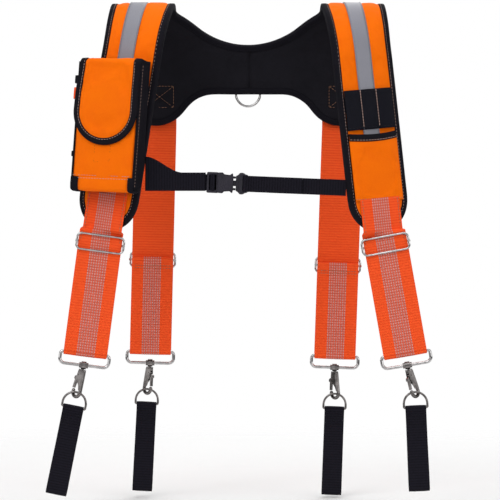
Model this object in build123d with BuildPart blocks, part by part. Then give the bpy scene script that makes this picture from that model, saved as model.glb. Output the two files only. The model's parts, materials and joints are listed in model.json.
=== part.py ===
"""Padded braces for a tool belt: a foam yoke on four adjustable webbing legs with snap hooks.

The frame stands with +Z up and +X to the right of someone who faces the wearer.
The origin is the middle of the back panel, on the face that lies against the wearer.
+Y points away from the wearer's back. All lengths are in millimetres.
"""

import math
import os

from build123d import *

os.makedirs("parts", exist_ok=True)

# ---- Driving dimensions -------------------------------------------------------------

# Padded yoke: lining, foam and cover, one over the other, with a bound edge
LINING_T = 1.0
FOAM_T = 6.0
COVER_T = 1.0
LAYER_GAP = 0.15
FOAM_IN = LINING_T + LAYER_GAP
FOAM_OUT = FOAM_IN + FOAM_T
COVER_IN = FOAM_OUT + LAYER_GAP
PAD_T = COVER_IN + COVER_T
PAD_WIDTH = 74.0
PAD_STRAIGHT = 164.0
PAD_END = PAD_STRAIGHT + PAD_WIDTH / 2
BINDING_T = 1.2
BINDING_LIP = 7.5

# Shoulder arch: the pads bend over the shoulders round a line along X
ARCH_RADIUS = 64.0
ARCH_HEIGHT = 1.0
APEX_X = 124.0
PAD_YAW = 23.0
SPREAD = {-1: 10.0, 1: 7.0}
ARCH_STEPS = [0, 18, 36, 54, 72, 90]

# Back panel outline
NECK_Z = 28.9
NECK_RADIUS = 105.9
NECK_TURN = 32.6
NECK_END_Z = 65.5
LOWER_Z = -29.0
LOWER_FLAT = 42.0
LOBE_RADIUS = 42.4
LOBE_TURN = 56.9
LOBE_END_RADIUS = 28.0
LOBE_END_TURN = 80.0
LOBE_OUT_Z = 60.0
OUTLINE_TOP = 120.0
SEAM_X = 2.0
SEAM_GAP = 0.15

# Webbing
WEB_WIDTH = 50.8
WEB_T = 1.6
ANCHOR_IN = PAD_T + LAYER_GAP
ANCHOR_OUT = ANCHOR_IN + WEB_T
TAPE_WIDTH = 18.0
TAPE_T = 0.3
TAPE_GAP = 0.05
TAPE_LENGTH = 100.0
FRONT_ANCHOR_START = {-1: 110.0, 1: 159.5}
BACK_ANCHOR_TOP = -14.0

# Phone pouch on the left pad (seen from the front)
POUCH_W = 79.0
POUCH_D = 28.0
POUCH_WALL = 2.0
POUCH_LOW = -77.0
POUCH_HIGH = 71.5
POUCH_TURN = 5.4
POUCH_DOWN = 75.0
POUCH_ACROSS = -2.5
POUCH_CORNER = 5.0
POUCH_GAP = 0.25
FLAP_T = 2.6
FLAP_W = 80.0
FLAP_DROP = 100.0
FLAP_ROUND = 30.0
FLAP_GAP = 0.4
FLAP_STAND = 1.6
PATCH_W = 24.0
PATCH_H = 24.0
PATCH_T = 1.0
PATCH_X = -1.3
PATCH_Y = -31.5

# Tool loops and slip pocket on the right pad
TOOL_W = 62.0
LOOPS_TOP = 33.0
LOOPS_END = 77.0
LOOPS_T = 4.6
LOOPS_SKIN = 1.0
LOOPS_COUNT = 3
LOOP_PITCH = 20.4
LOOP_WELT = 1.8
POCKET_TOP = 83.5
POCKET_END = 159.0
POCKET_T = 5.0
POCKET_SKIN = 1.2
POCKET_SEAM = 1.5
POCKET_BASE = 3.0

# Chest strap and side-release buckle
CHEST_Y = -146.7
CHEST_W = 18.0
CHEST_T = 1.6
CHEST_TILT = 2.3
BUCKLE_X = -20.0
BUCKLE_Z = -143.0
BUCKLE_H = 24.0
BUCKLE_T = 9.0
BUCKLE_TRAVEL = 22.0
BUCKLE_SKIN = 1.9
LADDER_END = -27.6
LADDER_T = 5.0
LADDER_SLOTS = [-23.6, -17.7]
LADDER_SLOT_W = 3.6
LADDER_SLOT_H = 20.4
SOCKET_START = -14.2
SOCKET_MOUTH = 3.0
SOCKET_MOUTH_H = 21.2
SOCKET_DEPTH = 10.0
SIDE_WINDOW = (-8.0, 1.0)
PLUG_START = 6.0
PLUG_END = 20.0
PLUG_H = 25.0
PLUG_T = 7.0
PLUG_CORNER = 4.0
PLUG_SLOT_U = 15.0
TONGUE_TIP = -10.5
TONGUE_H = 4.0
TONGUE_T = 3.2
ARM_V = 6.7
ARM_H = 3.0
ARM_T = 3.8
ARM_TIP = -11.7
ARM_ROOT = 5.7
CATCH_U = -6.0
CATCH_W = 7.0
CATCH_OUT = 0.6
TAIL_LENGTH = 62.0
FIXED_END = 129.0

# Leg hardware
ADJUSTER_W = 54.6
ADJUSTER_H = 18.5
ADJUSTER_ROUND = 5.5
ADJUSTER_WIRE = 1.25
ADJUSTER_FRONT = -1.55
ADJUSTER_BAR = 1.4
ADJUSTER_BAR_IN = 4.9
ADJUSTER_BAR_OVER = 1.4
ADJUSTER_KNOB = 1.5
RETURN_IN = 6.6
RETURN_OUT = RETURN_IN + WEB_T
RING_IN = RETURN_OUT / 2
RING_W = 57.0
RING_H = 14.0
RING_ROUND_LOW = 6.0
RING_ROUND_HIGH = 4.0
RING_WIRE = 1.9
HOOK_WIRE = 2.1
HOOK_BEND = 5.9
HOOK_BEND_Z = -31.6
D_DROP = 32.3
D_HALF = 13.6
D_WIRE = 1.3
D_STRAIGHT = 3.0
D_CORNER = 1.5
D_BAR_Z = -(D_HALF + D_STRAIGHT + D_CORNER)
LOOP_W = 24.0
LOOP_T = 1.5
LOOP_SEWN = 22.0
LOOP_GAP = 9.0

# One leg: side (-1 left, 1 right), back leg or not, where its foot ring hangs (X, Z),
# how far the adjuster sits below the hinge, how far the hook and the loop lean to the left,
# how far the hook is turned on its swivel, and the belt loop's length.
LEGS = {
    "front_left": dict(side=-1, back=False, foot=(-187.7, -339.5), adjuster=13.7,
                       hook_lean=15.0, loop_lean=11.4, turn=136.0, loop=103.0),
    "front_right": dict(side=1, back=False, foot=(181.5, -339.5), adjuster=13.7,
                        hook_lean=-16.0, loop_lean=-2.5, turn=-132.0, loop=97.0),
    "back_left": dict(side=-1, back=True, foot=(-119.5, -344.0), adjuster=163.0,
                      hook_lean=6.0, loop_lean=2.9, turn=-46.0, loop=107.0),
    "back_right": dict(side=1, back=True, foot=(106.3, -349.6), adjuster=170.0,
                       hook_lean=-1.0, loop_lean=2.1, turn=134.0, loop=106.0),
}
BACK_HINGE_X = {-1: -113.0, 1: 116.0}
BACK_HINGE_Z = -69.0
HINGE_GAP = 0.6
FRONT_HINGE_DROP = 1.6
FRONT_YAW = 8.0
WRAP_GAP = 0.35

X = Vector(1, 0, 0)
Y = Vector(0, 1, 0)
Z = Vector(0, 0, 1)


def save(builder, name):
    """Label a finished piece and write its STEP file."""
    builder.part.label = name
    export_step(builder.part, f"parts/{name}.step")


# ---- Yoke ---------------------------------------------------------------------------

def arch_frame(side, angle):
    """Plane across the pad at an arch angle: x across, y outwards, z along the pad."""
    a = math.radians(angle)
    spread = SPREAD[side]
    centre = Vector(
        side * (APEX_X + spread * (1 - math.cos(a))),
        -ARCH_RADIUS * (1 + math.sin(a)),
        ARCH_HEIGHT + ARCH_RADIUS * math.cos(a),
    )
    along = Vector(
        side * spread * math.sin(a),
        -ARCH_RADIUS * math.cos(a),
        -ARCH_RADIUS * math.sin(a),
    ).normalized()
    across = (X - along * along.X).normalized()
    across = across.rotate(Axis((0, 0, 0), along), -side * PAD_YAW * math.sin(a) ** 2)
    return Plane(origin=centre, x_dir=across, z_dir=along)


def pad_face(side, height=0.0):
    """Plane of the front pad, height above its inner face: x across, y up, z outwards."""
    end = arch_frame(side, 90)
    return Plane(origin=end.origin + end.y_dir * height, x_dir=end.x_dir, z_dir=end.y_dir)


def yoke_outline(side, inset):
    """Half of the back panel's outline, seen along Y, drawn in by inset."""
    with BuildSketch(Plane.XZ) as outline:
        with BuildLine():
            neck = JernArc((0, NECK_Z), (1, 0), NECK_RADIUS, NECK_TURN)
            inner = Line(neck @ 1, (APEX_X - PAD_WIDTH / 2, NECK_END_Z))
            up = Line(inner @ 1, (APEX_X - PAD_WIDTH / 2, OUTLINE_TOP))
            top = Line(up @ 1, (APEX_X + PAD_WIDTH / 2, OUTLINE_TOP))
            outer = Line(top @ 1, (APEX_X + PAD_WIDTH / 2, LOBE_OUT_Z))
            lower = Line((0, LOWER_Z), (LOWER_FLAT, LOWER_Z))
            fall = JernArc(lower @ 1, (1, 0), LOBE_RADIUS, -LOBE_TURN)
            lobe = JernArc(fall @ 1, fall % 1, LOBE_RADIUS, LOBE_TURN)
            end = JernArc(lobe @ 1, lobe % 1, LOBE_END_RADIUS, LOBE_END_TURN)
            Line(end @ 1, outer @ 1)
            Line((0, LOWER_Z), (0, NECK_Z))
        make_face()
        mirror(about=Plane.YZ)
        if inset:
            offset(amount=-inset)
        with Locations((SEAM_X + side * (SEAM_GAP / 2 + 2 * OUTLINE_TOP), 0)):
            Rectangle(4 * OUTLINE_TOP, 4 * OUTLINE_TOP, mode=Mode.INTERSECT)
    return outline.sketch


def strip_outline(side, width, low):
    """Straight strip down the middle of a shoulder, seen along Y."""
    with BuildSketch(Plane.XZ) as outline:
        with Locations((side * APEX_X, (OUTLINE_TOP + low) / 2)):
            Rectangle(width, OUTLINE_TOP - low)
    return outline.sketch


def pad_layer(side, outline, width, straight, inner, outer, round_end=True):
    """One layer of a shoulder half: back panel, arch and front pad in a single solid."""
    with BuildPart() as layer:
        with BuildSketch(Plane.YZ):
            with BuildLine():
                out_side = Line((outer, -OUTLINE_TOP), (outer, ARCH_HEIGHT))
                out_arc = CenterArc((-ARCH_RADIUS, ARCH_HEIGHT), ARCH_RADIUS + outer, 0, 90)
                in_arc = CenterArc((-ARCH_RADIUS, ARCH_HEIGHT), ARCH_RADIUS + inner, 0, 90)
                in_side = Line((inner, -OUTLINE_TOP), (inner, ARCH_HEIGHT))
                Line(out_arc @ 1, in_arc @ 1)
                Line(out_side @ 0, in_side @ 0)
            make_face()
        extrude(amount=2 * OUTLINE_TOP, both=True)
        with BuildSketch(Plane.XZ):
            add(outline)
        extrude(amount=2 * OUTLINE_TOP, both=True, mode=Mode.INTERSECT)
        for angle in ARCH_STEPS:
            with BuildSketch(arch_frame(side, angle)):
                with Locations((0, (inner + outer) / 2)):
                    Rectangle(width, outer - inner)
        loft()
        with BuildSketch(pad_face(side, inner)):
            with Locations((0, -straight / 2)):
                Rectangle(width, straight)
            if round_end:
                with Locations((0, -straight)):
                    Circle(width / 2)
        extrude(amount=outer - inner)
    return layer.part


def yoke_layer(side, inset, inner, outer):
    """A full layer of a shoulder half, its edge drawn in by inset."""
    width = PAD_WIDTH - 2 * inset
    return pad_layer(side, yoke_outline(side, inset), width, PAD_STRAIGHT, inner, outer)


def edge_binding(side):
    """Bound edge: a tape of C section round the edge of a shoulder half."""
    with BuildPart() as binding:
        add(yoke_layer(side, -BINDING_T, 0, PAD_T))
        add(yoke_layer(side, -LAYER_GAP, LINING_T, PAD_T - COVER_T), mode=Mode.SUBTRACT)
        add(yoke_layer(side, BINDING_LIP, -LINING_T, PAD_T + COVER_T), mode=Mode.SUBTRACT)
    return binding.part


def build_yoke():
    """Covers, foam, linings, bindings and reflective tapes of both shoulder halves."""
    inset = BINDING_LIP + LAYER_GAP
    for side, word in ((-1, "left"), (1, "right")):
        with BuildPart() as cover:
            add(yoke_layer(side, inset, COVER_IN, PAD_T))
        save(cover, f"yoke_cover_{word}")
        with BuildPart() as foam:
            add(yoke_layer(side, 0, FOAM_IN, FOAM_OUT))
        save(foam, f"yoke_foam_{word}")
    with BuildPart() as lining:
        for side in (-1, 1):
            add(yoke_layer(side, inset, 0, LINING_T))
    save(lining, "yoke_lining")
    with BuildPart() as binding:
        for side in (-1, 1):
            add(edge_binding(side))
    save(binding, "edge_binding")
    tape_in = PAD_T + TAPE_GAP
    with BuildPart() as tape:
        for side in (-1, 1):
            strip = strip_outline(side, TAPE_WIDTH, 0)
            add(pad_layer(side, strip, TAPE_WIDTH, TAPE_LENGTH, tape_in, tape_in + TAPE_T, False))
    save(tape, "reflective_tape")


def build_anchors():
    """The sewn upper ends of the four legs' webbing, flat on the pads."""
    with BuildPart() as anchors:
        for side, start in FRONT_ANCHOR_START.items():
            end = PAD_END + FRONT_HINGE_DROP - HINGE_GAP
            with BuildSketch(pad_face(side, ANCHOR_IN)):
                with Locations((0, -(start + end) / 2)):
                    Rectangle(WEB_WIDTH, end - start)
            extrude(amount=WEB_T)
        for side in (-1, 1):
            low = BACK_HINGE_Z + HINGE_GAP
            with BuildSketch(Plane.XZ.offset(-ANCHOR_IN)):
                with Locations((BACK_HINGE_X[side], (BACK_ANCHOR_TOP + low) / 2)):
                    Rectangle(WEB_WIDTH, BACK_ANCHOR_TOP - low)
            extrude(amount=-WEB_T)
    save(anchors, "webbing_anchors")


# ---- Back ring ----------------------------------------------------------------------

RING_TAB_Z = -24.0
RING_TAB_R = 3.3
RING_TAB_HALF = 10.0
RING_TAB_T = 1.4
RING_TAB_TOP = -4.0
RING_TAB_Y = ANCHOR_IN + RING_TAB_R
BACK_RING_HALF = 14.7
BACK_RING_BAR = -19.7
BACK_RING_WIRE = 1.5


def d_ring(plane, half, bar, wire):
    """Wire D-ring whose plane has x across, y towards the arc, and its origin on the arc's top."""
    with BuildPart() as ring:
        with BuildLine(plane) as path:
            low = Line((0, bar), (half - D_CORNER, bar))
            turn = CenterArc((half - D_CORNER, bar + D_CORNER), D_CORNER, -90, 90)
            Line(turn @ 1, (half, -half))
            bow = CenterArc((0, -half), half, 0, 180)
            Line(bow @ 1, (-half, bar + D_CORNER))
            CenterArc((D_CORNER - half, bar + D_CORNER), D_CORNER, 180, 90)
            Line((D_CORNER - half, bar), low @ 0)
        with BuildSketch(Plane(origin=path.wires()[0] @ 0, z_dir=path.wires()[0] % 0)):
            Circle(wire)
        sweep()
    return ring.part


def build_back_ring():
    """Wire ring below the back panel, and the webbing tab that holds its bar."""
    with BuildPart() as tab:
        with BuildSketch(Plane.YZ.offset(-RING_TAB_HALF)):
            with Locations((RING_TAB_Y, RING_TAB_Z)):
                Circle(RING_TAB_R)
            with Locations((ANCHOR_IN + RING_TAB_T / 2, (RING_TAB_Z + RING_TAB_TOP) / 2)):
                Rectangle(RING_TAB_T, RING_TAB_TOP - RING_TAB_Z)
            with Locations((RING_TAB_Y, RING_TAB_Z)):
                Circle(BACK_RING_WIRE + WRAP_GAP, mode=Mode.SUBTRACT)
        extrude(amount=2 * RING_TAB_HALF)
    save(tab, "back_ring_tab")
    top = Vector(0, RING_TAB_Y, RING_TAB_Z + BACK_RING_BAR)
    with BuildPart() as ring:
        add(d_ring(Plane(origin=top, x_dir=X, z_dir=Y), BACK_RING_HALF, BACK_RING_BAR, BACK_RING_WIRE))
    save(ring, "back_d_ring")


# ---- Pouch --------------------------------------------------------------------------

POUCH_BACK = ANCHOR_OUT + POUCH_GAP
FLAP_TOP = POUCH_HIGH + FLAP_GAP + FLAP_T
FLAP_BACK = POUCH_D + FLAP_STAND


def pouch_frame(forward=0.0):
    """Plane of the pouch, forward of its back: x across, y up, z forwards."""
    face = pad_face(-1, POUCH_BACK)
    origin = face.origin + face.x_dir * POUCH_ACROSS - face.y_dir * POUCH_DOWN
    across = face.x_dir.rotate(Axis((0, 0, 0), face.z_dir), POUCH_TURN)
    return Plane(origin=origin + face.z_dir * forward, x_dir=across, z_dir=face.z_dir)


def build_pouch():
    """Open-topped pouch with its flap in two hinged panels and a closure patch."""
    height = POUCH_HIGH - POUCH_LOW
    middle = (POUCH_HIGH + POUCH_LOW) / 2
    with BuildPart() as shell:
        with BuildSketch(pouch_frame()):
            with Locations((0, middle)):
                RectangleRounded(POUCH_W, height, POUCH_CORNER)
        extrude(amount=POUCH_D)
        with BuildSketch(pouch_frame(POUCH_WALL)):
            with Locations((0, middle + POUCH_WALL + POUCH_CORNER)):
                Rectangle(POUCH_W - 2 * POUCH_WALL, height + 2 * POUCH_CORNER)
        extrude(amount=POUCH_D - 2 * POUCH_WALL, mode=Mode.SUBTRACT)
    save(shell, "phone_pouch_shell")
    with BuildPart() as patch:
        with BuildSketch(pouch_frame(POUCH_D + LAYER_GAP)):
            with Locations((PATCH_X, PATCH_Y)):
                Rectangle(PATCH_W, PATCH_H)
        extrude(amount=PATCH_T)
    save(patch, "pouch_closure_patch")
    with BuildPart() as crown:
        with BuildSketch(pouch_frame(HINGE_GAP / 2)):
            with Locations((0, FLAP_TOP - FLAP_T / 2)):
                Rectangle(FLAP_W, FLAP_T)
        extrude(amount=FLAP_BACK - HINGE_GAP)
    save(crown, "pouch_flap_crown")
    with BuildPart() as panel:
        with BuildSketch(pouch_frame(FLAP_BACK)) as face:
            with Locations((0, FLAP_TOP - FLAP_DROP / 2)):
                Rectangle(FLAP_W, FLAP_DROP)
            fillet(face.vertices().group_by(Axis.Y)[0], FLAP_ROUND)
        extrude(amount=FLAP_T)
    save(panel, "pouch_flap_panel")


# ---- Tool loops and slip pocket -----------------------------------------------------

TOOL_IN = PAD_T + TAPE_GAP + TAPE_T + LAYER_GAP


def build_tool_side():
    """Elastic tool loops over a slip pocket, sewn to the right pad."""
    with BuildPart() as loops:
        with BuildSketch(pad_face(1, TOOL_IN)):
            with Locations((0, -(LOOPS_TOP + LOOPS_END) / 2)):
                Rectangle(TOOL_W, LOOPS_END - LOOPS_TOP)
        extrude(amount=LOOPS_T)
        with BuildSketch(pad_face(1, TOOL_IN + LOOPS_SKIN)):
            with Locations((0, -(LOOPS_TOP + LOOPS_END) / 2)):
                with GridLocations(LOOP_PITCH, 0, LOOPS_COUNT, 1):
                    Rectangle(LOOP_PITCH - LOOP_WELT, 2 * (LOOPS_END - LOOPS_TOP))
        extrude(amount=LOOPS_T - 2 * LOOPS_SKIN, mode=Mode.SUBTRACT)
    save(loops, "tool_loops")
    height = POCKET_END - POCKET_TOP
    with BuildPart() as pocket:
        with BuildSketch(pad_face(1, TOOL_IN)):
            with Locations((0, -(POCKET_TOP + POCKET_END) / 2)):
                Rectangle(TOOL_W, height)
        extrude(amount=POCKET_T)
        with BuildSketch(pad_face(1, TOOL_IN + POCKET_SKIN)):
            with Locations((0, POCKET_BASE - (POCKET_TOP + POCKET_END) / 2)):
                Rectangle(TOOL_W - 2 * POCKET_SEAM, height)
        extrude(amount=POCKET_T - 2 * POCKET_SKIN, mode=Mode.SUBTRACT)
    save(pocket, "slip_pocket")


# ---- Chest strap --------------------------------------------------------------------

CHEST_DIR = Vector(math.cos(math.radians(CHEST_TILT)), 0, -math.sin(math.radians(CHEST_TILT)))
FIXED_START = PLUG_END + BUCKLE_TRAVEL + 2
CHEST_WEDGE = [(-115.4, -113.3), (-78, -130.2), (-48.6, -131.4), (-48.6, -151.9), (-115.4, -151.2)]


def chest_face(depth=0.0):
    """Plane of the chest strap, depth towards the viewer: x along it to the right, y up."""
    return Plane(origin=(BUCKLE_X, CHEST_Y - depth, BUCKLE_Z), x_dir=CHEST_DIR, z_dir=-Y)


def along_strap(start, end):
    """Location of the middle of a stretch of the chest strap."""
    return Locations(((start + end) / 2, 0))


def chest_webbing(start, end, depth):
    """Flat length of chest webbing between two places along the strap."""
    with BuildPart() as webbing:
        with BuildSketch(chest_face(depth)):
            with along_strap(start, end):
                Rectangle(end - start, CHEST_W)
        extrude(amount=CHEST_T)
    return webbing


def build_socket():
    """Buckle socket: a ladder of two slots for the webbing, and an open-mouthed shell."""
    with BuildPart() as socket:
        with BuildSketch(chest_face(-LADDER_T / 2)):
            with along_strap(LADDER_END, SOCKET_START + HINGE_GAP):
                Rectangle(SOCKET_START + HINGE_GAP - LADDER_END, BUCKLE_H)
            for slot in LADDER_SLOTS:
                with Locations((slot, 0)):
                    Rectangle(LADDER_SLOT_W, LADDER_SLOT_H, mode=Mode.SUBTRACT)
        extrude(amount=LADDER_T)
        with BuildSketch(chest_face(-BUCKLE_T / 2)):
            with BuildLine():
                Polyline((SOCKET_START, BUCKLE_H / 2), (SOCKET_MOUTH, SOCKET_MOUTH_H / 2),
                         (SOCKET_MOUTH, -SOCKET_MOUTH_H / 2), (SOCKET_START, -BUCKLE_H / 2), close=True)
            make_face()
        extrude(amount=BUCKLE_T)
        with BuildSketch(chest_face(BUCKLE_SKIN - BUCKLE_T / 2)):
            with along_strap(SOCKET_MOUTH - 1.6 * SOCKET_DEPTH, SOCKET_MOUTH + SOCKET_DEPTH / 5):
                Rectangle(1.8 * SOCKET_DEPTH, 1.8 * SOCKET_DEPTH)
            with along_strap(*SIDE_WINDOW):
                Rectangle(SIDE_WINDOW[1] - SIDE_WINDOW[0], 2 * BUCKLE_H)
        extrude(amount=BUCKLE_T - 2 * BUCKLE_SKIN, mode=Mode.SUBTRACT)
    save(socket, "buckle_socket")


def build_plug():
    """Buckle plug with its tongue, and the two spring arms beside the tongue."""
    with BuildPart() as plug:
        with BuildSketch(chest_face(-PLUG_T / 2)):
            with along_strap(PLUG_START, PLUG_END):
                RectangleRounded(PLUG_END - PLUG_START, PLUG_H, PLUG_CORNER)
            with Locations((PLUG_SLOT_U, 0)):
                Rectangle(LADDER_SLOT_W, CHEST_W + 1, mode=Mode.SUBTRACT)
        extrude(amount=PLUG_T)
        with BuildSketch(chest_face(-TONGUE_T / 2)):
            with along_strap(TONGUE_TIP, PLUG_START + HINGE_GAP):
                Rectangle(PLUG_START + HINGE_GAP - TONGUE_TIP, TONGUE_H)
        extrude(amount=TONGUE_T)
    save(plug, "buckle_plug")
    for sign, word in ((1, "upper"), (-1, "lower")):
        with BuildPart() as arm:
            with BuildSketch(chest_face(-ARM_T / 2)):
                with Locations(((ARM_TIP + ARM_ROOT) / 2, sign * ARM_V)):
                    Rectangle(ARM_ROOT - ARM_TIP, ARM_H)
                with Locations((CATCH_U, sign * (ARM_V + CATCH_OUT))):
                    RectangleRounded(CATCH_W, ARM_H, ARM_H / 3)
            extrude(amount=ARM_T)
        save(arm, f"buckle_arm_{word}")


def build_chest():
    """Chest strap: the wedge on the left pad, the fixed right length and the loose tail."""
    half_t = CHEST_T / 2
    with BuildPart() as left:
        with BuildSketch(Plane.XZ.offset(-CHEST_Y - half_t)):
            with BuildLine():
                Polyline(CHEST_WEDGE, close=True)
            make_face()
        extrude(amount=CHEST_T)
    save(left, "chest_strap_left")
    behind = -half_t - HINGE_GAP / 2 - CHEST_T
    save(chest_webbing(FIXED_START, FIXED_END, behind), "chest_strap_right")
    save(chest_webbing(PLUG_END + HINGE_GAP / 2, PLUG_END + TAIL_LENGTH, -half_t), "chest_strap_tail")
    build_socket()
    build_plug()


# ---- Legs ---------------------------------------------------------------------------

def leaning(origin, lean, turn=0.0):
    """Upright frame at origin, its foot leaning to -X by lean and turned about its own z."""
    a = math.radians(lean)
    up = Vector(math.sin(a), 0, math.cos(a))
    across = Vector(math.cos(a), 0, -math.sin(a)).rotate(Axis((0, 0, 0), up), turn)
    return Plane(origin=origin, x_dir=across, z_dir=up)


def leg_frame(leg):
    """Frame of a leg at its hinge: x across the webbing, y towards the wearer, z up it.

    Also gives the length from the hinge to the foot ring's upper bar.
    """
    side = leg["side"]
    if leg["back"]:
        hinge = Vector(BACK_HINGE_X[side], ANCHOR_OUT, BACK_HINGE_Z)
        across = -X
    else:
        face = pad_face(side, ANCHOR_OUT)
        hinge = face.origin - face.y_dir * (PAD_END + FRONT_HINGE_DROP)
        across = X.rotate(Axis.Z, -side * FRONT_YAW)
    foot_x, foot_z = leg["foot"]
    foot = hinge + across * ((foot_x - hinge.X) / across.X) + Z * (foot_z - hinge.Z)
    up = (hinge - foot).normalized()
    across = (across - up * across.dot(up)).normalized()
    return Plane(origin=hinge, x_dir=across, z_dir=up), (hinge - foot).length


def side_view(frame, x=0.0):
    """Plane of a leg's side section at x: its x is the leg's y, its y the leg's z."""
    return Plane(origin=frame.origin + frame.x_dir * x, x_dir=frame.y_dir, z_dir=frame.x_dir)


def front_view(frame, y=0.0):
    """Plane parallel to a leg's webbing at y: its x is the leg's x, its y the leg's z."""
    return Plane(origin=frame.origin + frame.y_dir * y, x_dir=frame.x_dir, z_dir=-frame.y_dir)


def wire_frame(plane, width, low, high, low_radius, high_radius, wire):
    """Closed rectangle of round wire in a plane, between two heights."""
    half = width / 2
    with BuildPart() as loop:
        with BuildLine(plane) as path:
            FilletPolyline((half, low), (half, high), (-half, high), (-half, low), close=True,
                           radius=[low_radius, high_radius, high_radius, low_radius])
        with BuildSketch(Plane(origin=path.wires()[0] @ 0, z_dir=path.wires()[0] % 0)):
            Circle(wire)
        sweep()
    return loop.part


def build_straps(name, leg, frame, length):
    """Leg webbing: the main length, and the fold round the foot ring with its return."""
    half = WEB_WIDTH / 2
    sewn = Z if leg["back"] else pad_face(leg["side"]).y_dir
    top = -HINGE_GAP - half * abs(sewn.dot(frame.x_dir))
    low = HINGE_GAP - length
    with BuildPart() as main:
        with BuildSketch(side_view(frame, -half)):
            with Locations((WEB_T / 2, (top + low) / 2)):
                Rectangle(WEB_T, top - low)
        extrude(amount=WEB_WIDTH)
    save(main, f"strap_main_{name}")
    reach = length - leg["adjuster"]
    with BuildPart() as back:
        with BuildSketch(side_view(frame, -half)):
            with Locations((RING_IN, -length)):
                Circle(RETURN_OUT / 2)
                Circle(RETURN_OUT / 2 - WEB_T, mode=Mode.SUBTRACT)
            with Locations((RING_IN, -length + RETURN_OUT)):
                Rectangle(2 * RETURN_OUT, 2 * RETURN_OUT, mode=Mode.SUBTRACT)
            with Locations(((RETURN_IN + RETURN_OUT) / 2, -length + reach / 2)):
                Rectangle(WEB_T, reach)
        extrude(amount=WEB_WIDTH)
    save(back, f"strap_return_{name}")


def build_adjuster(name, leg, frame):
    """Wire slide adjuster with a loose centre bar behind the webbing."""
    drop = leg["adjuster"]
    with BuildPart() as adjuster:
        add(wire_frame(front_view(frame, ADJUSTER_FRONT), ADJUSTER_W, -drop - ADJUSTER_H / 2,
                       -drop + ADJUSTER_H / 2, ADJUSTER_ROUND, ADJUSTER_ROUND, ADJUSTER_WIRE))
        with BuildSketch(side_view(frame, -ADJUSTER_W / 2 - ADJUSTER_BAR_OVER)):
            with Locations((ADJUSTER_BAR_IN, -drop)):
                Circle(ADJUSTER_BAR)
        extrude(amount=ADJUSTER_W + 2 * ADJUSTER_BAR_OVER)
        for x in (-ADJUSTER_W / 2, ADJUSTER_W / 2):
            with BuildSketch(front_view(frame, ADJUSTER_FRONT - ADJUSTER_KNOB)):
                with Locations((x, -drop)):
                    Circle(ADJUSTER_KNOB)
            extrude(amount=-(ADJUSTER_BAR_IN - ADJUSTER_FRONT + 2 * ADJUSTER_KNOB))
    save(adjuster, f"adjuster_{name}")


def build_ring(name, frame, length):
    """Rectangular wire ring in the fold of the webbing."""
    with BuildPart() as ring:
        add(wire_frame(front_view(frame, RING_IN), RING_W, -length - RING_H, -length,
                       RING_ROUND_LOW, RING_ROUND_HIGH, RING_WIRE))
    save(ring, f"square_ring_{name}")


def hook_frame(leg, frame, length):
    """Frame of the snap hook, its origin on the foot ring's lower bar."""
    bar = frame.origin + frame.y_dir * RING_IN - frame.z_dir * (length + RING_H)
    return leaning(bar, leg["hook_lean"], leg["turn"])


EYE_R = 4.6
EYE_HALF = 2.8
EYE_CLEAR = 0.4
BUSH_R = 3.3
BUSH_HALF = 5.2
STEM_R = 1.5
STEM_TOP = -3.5
COLLAR_R = 4.3
COLLAR_TOP = -4.95
COLLAR_END = -7.0
POCKET_LOW = -9.2
HEAD_R = 2.5
HEAD_T = 1.5
HEAD_CLEAR = 0.35
SHOULDER_HALF = 3.2
SHOULDER_EDGE = 1.0
SHOULDER = [(-4.2, -6.2), (3.9, -6.2), (4.6, -12), (4.7, -16.2), (3.6, -18.4), (0.4, -21.2),
            (-2.2, -24.6), (-3.9, -29), (-6.3, -29), (-5.2, -16)]
SPINE = [(-3.4, -8), (-4.2, -16), (-HOOK_BEND, HOOK_BEND_Z)]
SPINE_ROUND = 60.0
TIP_RISE = 0.8
PIVOT = (1.7, -12.0)
PIVOT_R = 0.9
PIVOT_CLEAR = 0.05
PIVOT_HALF = 3.6
GATE_R = 1.9
GATE_HALF = 1.5
GATE_SLOT_HALF = 1.8
GATE_SLOT = [(-1.0, -9.6), (9, -9.6), (9, -25), (-1.4, -25), (-0.9, -18)]
GATE = [(2.2, -13.6), (5.6, -13.2), (8.3, -14.6), (8.6, -17.2), (6.9, -18.6), (7.6, -28.1),
        (5.4, -28.1), (4.4, -19.5)]


def build_hook_eye(name, hook, across):
    """Swivel eye round the foot ring, with the headed stem that turns in the hook."""
    eye_side = Plane(origin=hook.origin - across * EYE_HALF, z_dir=across)
    bush_side = Plane(origin=hook.origin - across * BUSH_HALF, z_dir=across)
    with BuildPart() as eye:
        with BuildSketch(eye_side):
            Circle(EYE_R)
        extrude(amount=2 * EYE_HALF)
        with BuildSketch(bush_side):
            Circle(BUSH_R)
        extrude(amount=2 * BUSH_HALF)
        with BuildSketch(hook.offset(POCKET_LOW + HEAD_CLEAR)):
            Circle(STEM_R)
        extrude(amount=STEM_TOP - POCKET_LOW)
        with BuildSketch(hook.offset(POCKET_LOW + HEAD_CLEAR)):
            Circle(HEAD_R)
        extrude(amount=HEAD_T)
        with BuildSketch(bush_side):
            Circle(RING_WIRE + EYE_CLEAR)
        extrude(amount=2 * BUSH_HALF, mode=Mode.SUBTRACT)
    save(eye, f"hook_eye_{name}")


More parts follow.
